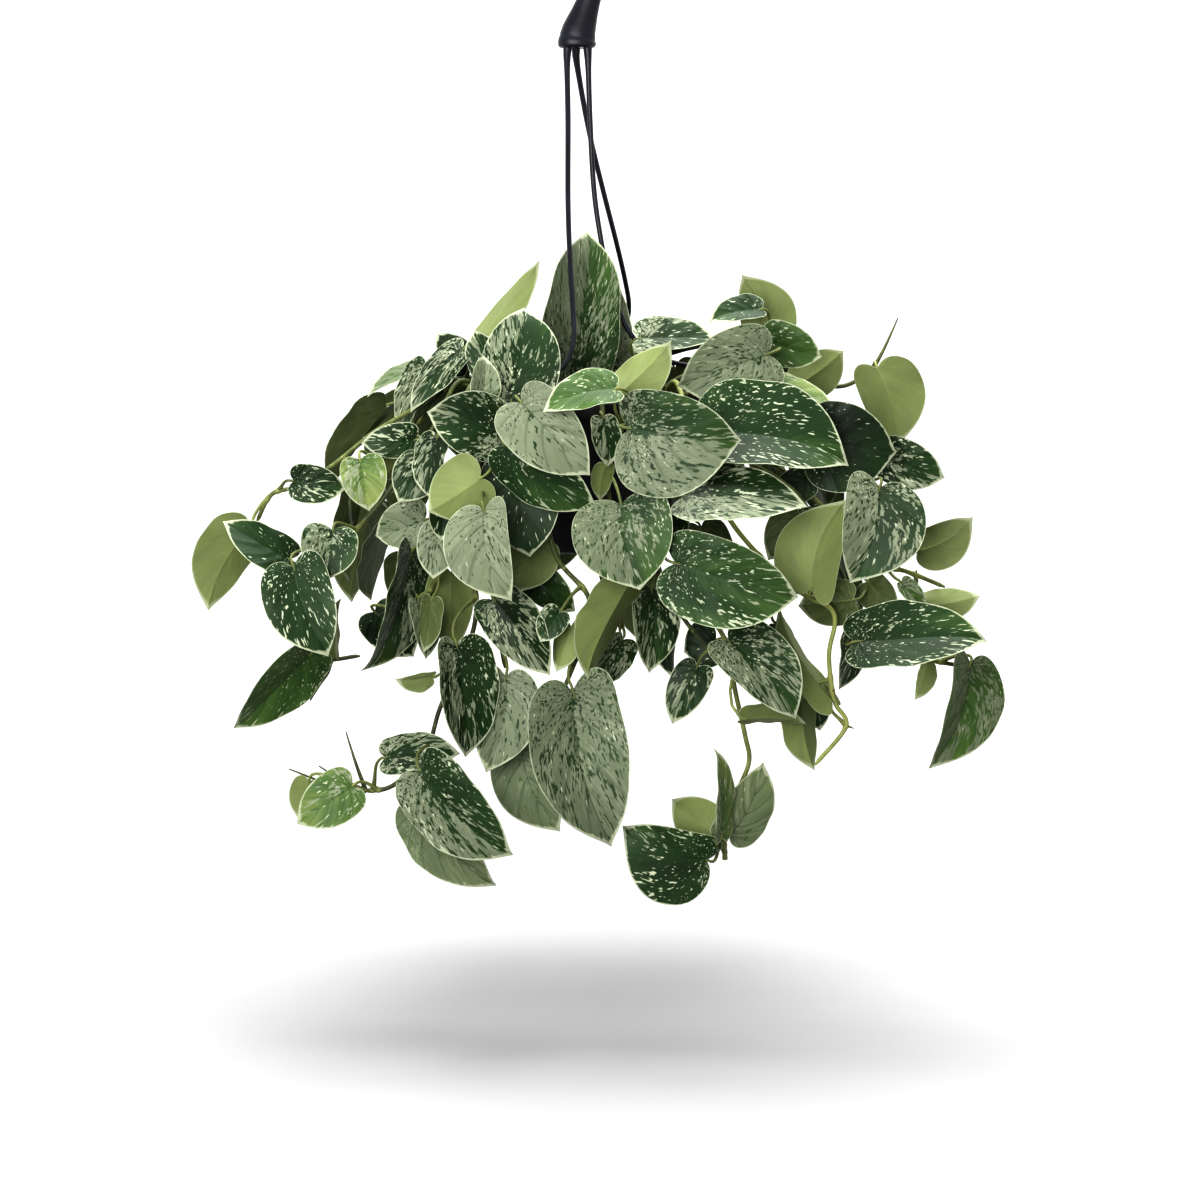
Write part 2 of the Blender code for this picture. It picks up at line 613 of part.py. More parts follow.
def crosses_itself(corners, faces):
    """Say whether a skin runs through itself."""
    triangles = [(face[0], b, c) for face in faces for b, c in zip(face[1:], face[2:])]
    tree = BVHTree.FromPolygons(corners, triangles)
    return any(not set(triangles[a]) & set(triangles[b]) for a, b in tree.overlap(tree))


def joint_point(line, joint):
    """Return the point of a stem's line at a joint, counted in quarters of its steps."""
    step, quarter = divmod(joint, 4)
    if quarter == 0:
        return line[step]
    return line[step].lerp(line[step + 1], quarter / 4)


class Piece:
    """One blade, petiole or stretch of stem as the settling sees it."""

    def __init__(self, kind, vine, item):
        self.kind, self.vine, self.item = kind, vine, item
        self.rounds = 0
        self.update()

    def shape(self):
        if self.kind == "blade":
            return self.item.blade(SETTLE_MARGIN)
        line = self.vine.line()
        if self.kind == "petiole":
            return ring_tube(self.item.stalk(joint_point(line, self.item.joint), SETTLE_MARGIN))
        start, end = self.vine.spans()[self.item]
        part = line[start:end + 1]
        return tube(part, [STEM_RADIUS + SETTLE_MARGIN] * len(part), STEM_SIDES)

    def update(self):
        corners, faces = self.shape()
        self.tree = BVHTree.FromPolygons(corners, faces)
        self.low = [min(c[k] for c in corners) for k in range(3)]
        self.high = [max(c[k] for c in corners) for k in range(3)]
        self.centre = Vector([(a + b) / 2 for a, b in zip(self.low, self.high)])

    def direction(self):
        if self.kind == "stem":
            return self.vine.pushes[min(self.item + 1, len(self.vine.pushes) - 1)]
        return self.item.push

    def move(self, amount):
        """Shift the piece along its own direction; the long thin ones bend before they drag what they carry."""
        self.rounds += 1
        if self.kind == "blade":
            self.item.shift = bounded(self.item.shift + amount, SHIFT_LIMIT)
        elif self.kind == "petiole":
            self.item.sag = bounded(self.item.sag + 1.4 * amount, SAG_LIMIT)
            if self.rounds > 10:
                self.item.shift = bounded(self.item.shift + 0.4 * amount, SHIFT_LIMIT)
        else:
            for k in (self.item, self.item + 1):
                if k >= self.vine.fixed:
                    self.vine.shifts[k] = max(bounded(self.vine.shifts[k] + amount, STEM_LIMIT), self.vine.floor)


def bounded(value, limit):
    """Return a value kept within a limit either way."""
    return max(-limit, min(limit, value))


def touching(first, second):
    """Say whether two pieces cross."""
    for k in range(3):
        if first.low[k] > second.high[k] or second.low[k] > first.high[k]:
            return False
    return bool(first.tree.overlap(second.tree))


def settle(vines, fixed):
    """Move blades, petioles and stems of different vines apart along the line of sight until none cross."""
    pieces = []
    for vine in vines:
        set_joints(vine)
        for leaf in vine.leaves:
            pieces += [Piece("blade", vine, leaf), Piece("petiole", vine, leaf)]
        pieces += [Piece("stem", vine, k) for k in range(1, len(vine.spans()))]
    signs = {}
    for _ in range(SETTLE_ROUNDS):
        moves = {}
        for i, first in enumerate(pieces):
            for obstacle in fixed:
                if touching(first, obstacle):
                    key = (id(first), id(obstacle))
                    signs.setdefault(key, obstacle.side(first))
                    moves.setdefault(i, []).append(signs[key] * SETTLE_STEP)
            for j in range(i + 1, len(pieces)):
                second = pieces[j]
                apart = second.vine is not first.vine or first.kind == second.kind == "blade"
                if not apart or not touching(first, second):
                    continue
                key = (id(first), id(second))
                gap = first.centre - second.centre
                signs.setdefault(key, (1 if gap.dot(first.direction()) > 0 else -1,
                                       1 if gap.dot(second.direction()) < 0 else -1))
                moves.setdefault(i, []).append(signs[key][0] * SETTLE_STEP)
                moves.setdefault(j, []).append(signs[key][1] * SETTLE_STEP)
        if not moves:
            break
        moved = set()
        for i, amounts in moves.items():
            pieces[i].move(sum(amounts) / len(amounts) if abs(sum(amounts)) > 0 else amounts[0])
            moved.add(id(pieces[i].vine))
        for piece in pieces:
            if id(piece.vine) in moved:
                piece.update()


class Obstacle:
    """A finished solid that the plant keeps clear of."""

    def __init__(self, item):
        corners = [item.matrix_world @ v.co for v in item.data.vertices]
        self.tree = BVHTree.FromPolygons(corners, [tuple(p.vertices) for p in item.data.polygons])
        self.low = [min(c[k] for c in corners) for k in range(3)]
        self.high = [max(c[k] for c in corners) for k in range(3)]

    def side(self, piece):
        """Return the sign that takes a piece away from the nearest wall."""
        near = self.tree.find_nearest(piece.centre)[0]
        return 1 if (piece.centre - near).dot(piece.direction()) > 0 else -1


def finish(name, colour, roughness):
    """Return a material of one colour."""
    material = bpy.data.materials.new(name)
    material.use_nodes = True
    shader = material.node_tree.nodes["Principled BSDF"]
    shader.inputs["Base Color"].default_value = (*colour, 1.0)
    shader.inputs["Roughness"].default_value = roughness
    shader.inputs["Metallic"].default_value = 0.0
    return material


def make_object(name, corners, faces, material=None):
    """Return a new object of a mesh whose faces all point out."""
    mesh = bpy.data.meshes.new(name)
    mesh.from_pydata([tuple(c) for c in corners], [], faces)
    body = bmesh.new()
    body.from_mesh(mesh)
    bmesh.ops.recalc_face_normals(body, faces=body.faces)
    body.to_mesh(mesh)
    body.free()
    item = bpy.data.objects.new(name, mesh)
    bpy.context.scene.collection.objects.link(item)
    if material:
        mesh.materials.append(material)
    return item


def lathe(profile, sides):
    """Return the corners and faces of a profile turned about Z; its ends lie on the axis."""
    corners = [Vector((0, 0, profile[0][1]))]
    for radius, z in profile[1:-1]:
        corners += [around(radius, 360.0 * k / sides, z) for k in range(sides)]
    corners.append(Vector((0, 0, profile[-1][1])))
    faces = [(0, 1 + (k + 1) % sides, 1 + k) for k in range(sides)]
    for ring in range(len(profile) - 3):
        for k in range(sides):
            a, b = 1 + ring * sides + k, 1 + ring * sides + (k + 1) % sides
            faces.append((a, b, b + sides, a + sides))
    last = len(corners) - 1
    faces += [(last, last - sides + k, last - sides + (k + 1) % sides) for k in range(sides)]
    return corners, faces


def combine(item, others, operation, solver="EXACT"):
    """Apply one Boolean of an object with a group of others, which are then removed."""
    group = bpy.data.collections.new(item.name + "_parts")
    bpy.context.scene.collection.children.link(group)
    for other in others:
        bpy.context.scene.collection.objects.unlink(other)
        group.objects.link(other)
    modifier = item.modifiers.new("join", "BOOLEAN")
    modifier.operation = operation
    modifier.solver = solver
    modifier.operand_type = "COLLECTION"
    modifier.collection = group
    bpy.context.view_layer.update()
    joined = bpy.data.meshes.new_from_object(item.evaluated_get(bpy.context.evaluated_depsgraph_get()))
    item.modifiers.clear()
    item.data = joined
    for other in others:
        bpy.data.objects.remove(other, do_unlink=True)
    bpy.data.collections.remove(group)


def keep_outer_skin(item):
    """Keep a fused body's largest shell, which fills any hollow that the fusing sealed."""
    body = bmesh.new()
    body.from_mesh(item.data)
    shells, unseen = [], set(body.verts)
    while unseen:
        stack = [unseen.pop()]
        shell = list(stack)
        while stack:
            for edge in stack.pop().link_edges:
                for corner in edge.verts:
                    if corner in unseen:
                        unseen.remove(corner)
                        shell.append(corner)
                        stack.append(corner)
        shells.append(shell)
    shells.sort(key=len)
    for shell in shells[:-1]:
        bmesh.ops.delete(body, geom=shell, context="VERTS")
    body.to_mesh(item.data)
    body.free()


def eye_place(angle):
    """Return the middle of the hole of the rim's eye at an angle."""
    return around(EYE_REACH, angle, RIM_Z - EYE_DROP)


def make_pot(material):
    """Make the pot: a tapered wall with a flanged rim, a base with drain holes, and three eyes."""
    floor = RIM_Z - POT_HEIGHT
    profile = ((0, floor), (POT_BASE_RADIUS - 2 * MM, floor), (POT_BASE_RADIUS, floor + 2 * MM),
               (POT_TOP_RADIUS - 1.2 * MM, RIM_Z - RIM_LIP), (POT_TOP_RADIUS, RIM_Z - 4.2 * MM),
               (RIM_RADIUS - 1.6 * MM, RIM_Z - 3.4 * MM), (RIM_RADIUS - 1.6 * MM, RIM_Z - RIM_LIP),
               (RIM_RADIUS, RIM_Z - RIM_LIP), (RIM_RADIUS, RIM_Z - 1.2 * MM), (RIM_RADIUS - 1.2 * MM, RIM_Z),
               (POT_TOP_RADIUS - POT_WALL, RIM_Z - 0.6 * MM), (POT_BASE_RADIUS - POT_WALL, floor + 2 * MM),
               (0, floor + 2 * MM))
    pot = make_object("pot", *lathe(profile, POT_SIDES), material)
    eyes, cutters = [], []
    for angle in EYE_ANGLES:
        eyes.append(make_object("eye", *eye_plate(angle)))
        middle = eye_place(angle)
        line = [middle + Vector((0, 0, 6 * MM)), middle - Vector((0, 0, 6 * MM))]
        cutters.append(make_object("eye_cut", *tube(line, [EYE_HOLE] * 2, 10)))
    combine(pot, eyes, "UNION")
    for k in range(DRAIN_COUNT):
        middle = around(DRAIN_RING, 45 + 360 * k / DRAIN_COUNT, floor)
        line = [middle - Vector((0, 0, 5 * MM)), middle + Vector((0, 0, 5 * MM))]
        cutters.append(make_object("drain_cut", *tube(line, [DRAIN_RADIUS] * 2, 12)))
    combine(pot, cutters, "DIFFERENCE")
    return pot


def eye_plate(angle):
    """Return the corners and faces of the flat eye that stands out from the rim."""
    out = around(1.0, angle, 0.0)
    side = Vector((-out.y, out.x, 0.0))
    half = EYE_WIDTH / 2
    outline = ((RIM_RADIUS - 1.4 * MM, -half), (EYE_REACH + 2 * MM, -half), (EYE_REACH + 5 * MM, -0.45 * half),
               (EYE_REACH + 5 * MM, 0.45 * half), (EYE_REACH + 2 * MM, half), (RIM_RADIUS - 1.4 * MM, half))
    corners = []
    for z in (-EYE_THICK / 2, EYE_THICK / 2):
        corners += [out * r + side * s + Vector((0, 0, RIM_Z - EYE_DROP + z)) for r, s in outline]
    count = len(outline)
    faces = [tuple(range(count)), tuple(range(2 * count - 1, count - 1, -1))]
    faces += [(k, (k + 1) % count, (k + 1) % count + count, k + count) for k in range(count)]
    return corners, faces


def hook_line():
    """Return the hook's middle line and its radii, from the base up and round the crook."""
    stations = ((577, 47, 18.5), (577.5, 38, 18.6), (581, 24, 15.5), (585, 12, 13.2), (589, 0, 11.6),
                (597, -22, 9.4), (606, -43, 8.4), (613, -64, 7.8))
    line = [at(u, v, 0) for u, v, _ in stations]
    radii = [r * UNIT for _, _, r in stations]
    for k in range(CROOK_STEPS + 1):
        turn = math.radians(-8.0 + 215.0 * k / CROOK_STEPS)
        line.append(Vector((math.cos(turn), 0.0, math.sin(turn))) * (CROOK_RADIUS + CROOK_HALF))
        line[-1].z -= CROOK_RADIUS
        radii.append(CROOK_HALF * (1.0 - 0.02 * k))
    return line, radii


def strand_lines():
    """Return the middle line and the radii of each strand, from inside the hook's base to under its eye."""
    front = ((569, 38, -4), (567, 56, -5), (568, 120, -18), (568, 200, -38), (570, 260, -54), (573, 305, -67),
             (574, 335, -77), (571, 352, -83), (562, 368, -87))
    right = ((587, 38, -2), (588, 56, -2), (590, 120, -3), (594, 190, -6), (601, 240, -7), (609, 280, -8),
             (617, 305, -8), (628, 330, -8), (645, 349, -7), (672, 362, -5), (704, 368, -3))
    back = ((577, 38, 4), (576, 56, 6), (583, 100, 14), (592, 145, 22), (603, 190, 31), (617, 245, 42),
            (625, 280, 52), (629, 305, 60), (626, 325, 68), (615, 345, 78), (598, 362, 88))
    lines = []
    for rows, angle in zip((front, right, back), EYE_ANGLES):
        eye = eye_place(angle)
        points = [at(*row) for row in rows]
        points += [eye + Vector((0, 0, 14 * MM)), eye - Vector((0, 0, EYE_THICK / 2 + 3 * MM))]
        line = smooth_line(points, span_counts(points, 26 * MM))
        radii = []
        for k in range(len(line)):
            share = k / (len(line) - 1)
            radii.append((2.6 if k < 2 else 1.75 - 0.35 * share) * MM)
        lines.append((line, radii, eye))
    return lines


def make_hanger(material):
    """Make the hanger: the hook with its flared base, three strands and the barb under each eye."""
    line, radii = hook_line()
    hanger = make_object("hanger", *tube(line, radii, 10), material)
    parts = []
    for line, radii, eye in strand_lines():
        parts.append(make_object("strand", *tube(line, radii, 5)))
        top = eye - Vector((0, 0, EYE_THICK / 2 + GAP))
        barb = [top, top - Vector((0, 0, 1.5 * MM)), top - Vector((0, 0, 6 * MM))]
        parts.append(make_object("barb", *tube(barb, [3.6 * MM, 3.6 * MM, 1.6 * MM], 8)))
    combine(hanger, parts, "UNION")
    return hanger


def soil_height(x, y):
    """Return the soil's lumpy surface height."""
    lump = math.sin(160 * x + 1.3) * math.cos(140 * y) + 0.6 * math.sin(310 * x - 250 * y)
    return RIM_Z - SOIL_DROP + SOIL_LUMP * 0.6 * lump


def make_soil(material, vines):
    """Make the soil that fills the pot, with a plain hole for each stem."""
    floor = RIM_Z - POT_HEIGHT + 2 * MM + GAP
    top_radius = soil_radius(RIM_Z - SOIL_DROP)
    profile = ((0, floor), (soil_radius(floor), floor), (top_radius, RIM_Z - SOIL_DROP),
               (0.8 * top_radius, RIM_Z - SOIL_DROP), (0.55 * top_radius, RIM_Z - SOIL_DROP),
               (0.28 * top_radius, RIM_Z - SOIL_DROP), (0, RIM_Z - SOIL_DROP))
    corners, faces = lathe(profile, SOIL_SIDES)
    for corner in corners:
        if corner.z > floor + MM and Vector(corner[:2]).length < top_radius - MM:
            corner.z = soil_height(corner.x, corner.y)
    soil = make_object("soil", corners, faces, material)
    cutters = []
    for vine in vines:
        foot = vine.hole + Vector((0, 0, RIM_Z - SOIL_DROP - HOLE_DEPTH))
        line = [foot, foot + Vector((0, 0, HOLE_DEPTH + 8 * MM))]
        cutters.append(make_object("hole", *tube(line, [HOLE_RADIUS] * 2, 5)))
    combine(soil, cutters, "DIFFERENCE")
    return soil


def soil_radius(z):
    """Return the soil's radius at a height, a gap inside the pot's wall."""
    low, high = RIM_Z - POT_HEIGHT + 2 * MM, RIM_Z - 0.6 * MM
    share = (z - low) / (high - low)
    wall = (POT_BASE_RADIUS - POT_WALL) * (1 - share) + (POT_TOP_RADIUS - POT_WALL) * share
    return wall * math.cos(math.pi / POT_SIDES) - 2 * GAP


def make_vine(vine, material):
    """Make one leafy stem: a tapering tube with every leaf and shoot fused to it."""
    line = vine.line()
    radii = [STEM_RADIUS * (1.0 - STEM_TAPER * k / len(line)) for k in range(len(line))]
    stem = make_object("vine_" + vine.name, *tube(line, radii, STEM_SIDES), material)
    parts = [make_object("leaf", *leaf.body(joint_point(line, leaf.joint))) for leaf in vine.leaves]
    for start, end in vine.shoots:
        root = min(line, key=lambda p: (p - start).length)
        parts.append(make_object("shoot", *tube([root, root.lerp(end, 0.5), end], SHOOT_RADII, STEM_SIDES)))
    combine(stem, parts, "UNION", "MANIFOLD")
    keep_outer_skin(stem)
    return stem


def main():
    """Build the whole part."""
    clear_scene()
    plastic = finish("black_plastic", (0.012, 0.013, 0.015), 0.45)
    vines = seen_vines()
    vines += [back_vine(*row) for row in BACK_VINES]
    vines.append(crown_vine(*CROWN_BACK))
    hanger = make_hanger(finish("charcoal_plastic", (0.020, 0.023, 0.032), 0.42))
    pot = make_pot(plastic)
    soil = make_soil(finish("soil", (0.035, 0.022, 0.014), 0.95), vines)
    settle(vines, [Obstacle(hanger), Obstacle(pot), Obstacle(soil)])
    leaf = finish("leaf", (0.045, 0.110, 0.040), 0.42)
    for vine in vines:
        make_vine(vine, leaf)


main()
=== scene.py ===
"""Looks of a satin pothos in a hanging pot: fine leaves and stems, soil, a moulded pot and its hanger.

Metres, +Z up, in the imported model's own frame: the origin is where the hook bears, and the pot's axis is Z.
Leaves and stems are laid out as a viewer at -Y sees them: u to the right and v down, in units of UNIT at the
axis, with a depth along Y in millimetres. They then give way to each other by the amounts of SETTLED, as the
solids do, so each fine leafy stem lies on the solid that it stands for.
"""
import logging
import math
import random
from collections.abc import Callable, Iterable, Sequence
from dataclasses import dataclass, field
from enum import Enum, IntEnum
from functools import cache

import bmesh
import bpy
from mathutils import Matrix, Vector, noise


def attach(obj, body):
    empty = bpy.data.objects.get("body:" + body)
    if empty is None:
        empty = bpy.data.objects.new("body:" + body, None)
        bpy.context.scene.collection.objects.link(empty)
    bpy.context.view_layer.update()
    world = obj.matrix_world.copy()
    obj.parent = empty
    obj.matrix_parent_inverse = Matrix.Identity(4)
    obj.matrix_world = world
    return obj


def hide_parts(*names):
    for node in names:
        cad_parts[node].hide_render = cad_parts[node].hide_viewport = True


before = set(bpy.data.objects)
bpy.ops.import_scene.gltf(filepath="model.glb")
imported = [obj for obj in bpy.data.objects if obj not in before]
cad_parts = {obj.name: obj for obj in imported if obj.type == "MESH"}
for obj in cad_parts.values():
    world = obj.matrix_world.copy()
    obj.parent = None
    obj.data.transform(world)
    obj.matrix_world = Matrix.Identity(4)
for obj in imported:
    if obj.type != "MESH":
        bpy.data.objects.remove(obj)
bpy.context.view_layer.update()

LOG = logging.getLogger("pothos")
BLANK = Vector((0.0, 0.0, 0.0))
MM = 0.001
BODY = "root"

# How the photographed view maps to the model.
UNIT = 0.62 * MM
VIEW_U = 600.0
VIEW_V = 600.0
AXIS_U = 590.0
HOOK_V = -110.0
VIEW_ELEVATION = math.radians(6.0)
VIEW_DISTANCE = 1.9
IMAGE_PIXELS = 1200
SENSOR_WIDTH = 36.0

# What the plant, the pot and the hanger share.
RIM_Z = -317.0 * MM
RIM_RADIUS = 90.0 * MM
SOIL_DROP = 9.0 * MM
HOLE_DEPTH = 24.0 * MM
GAP = 0.3 * MM
EYE_ANGLES = (-110.0, 0.0, 100.0)
EYE_REACH = 96.0 * MM
EYE_THICK = 2.4 * MM
EYE_DROP = 3.0 * MM

# Stems and blades.
STEM_STEP = 30.0 * MM
STEM_TAPER = 0.25
BLADE_RATIO = 0.66
BLADE_ARCH = 0.05
TURN_LIMIT = math.radians(60.0)

# Half outline of the fine blade: along its length from foot 0 to tip 1, across as a share of half its width,
# and where on the midrib the vein to that point starts.
FINE_EDGE = ((0.0, 0.03, 0.0), (-0.05, 0.14, 0.0), (-0.09, 0.34, 0.0), (-0.095, 0.56, 0.0),
             (-0.05, 0.78, 0.0), (0.03, 0.93, 0.005), (0.14, 1.0, 0.02), (0.27, 1.02, 0.05),
             (0.40, 1.0, 0.10), (0.53, 0.93, 0.17), (0.66, 0.79, 0.27), (0.78, 0.59, 0.40),
             (0.88, 0.34, 0.55), (0.95, 0.13, 0.74), (1.0, 0.0, 1.0))

# Which face the viewer sees, and whether it is turned up and right or down and left.
TOP_R = (1, 1)
TOP_L = (1, -1)
UNDER_R = (-1, 1)
UNDER_L = (-1, -1)

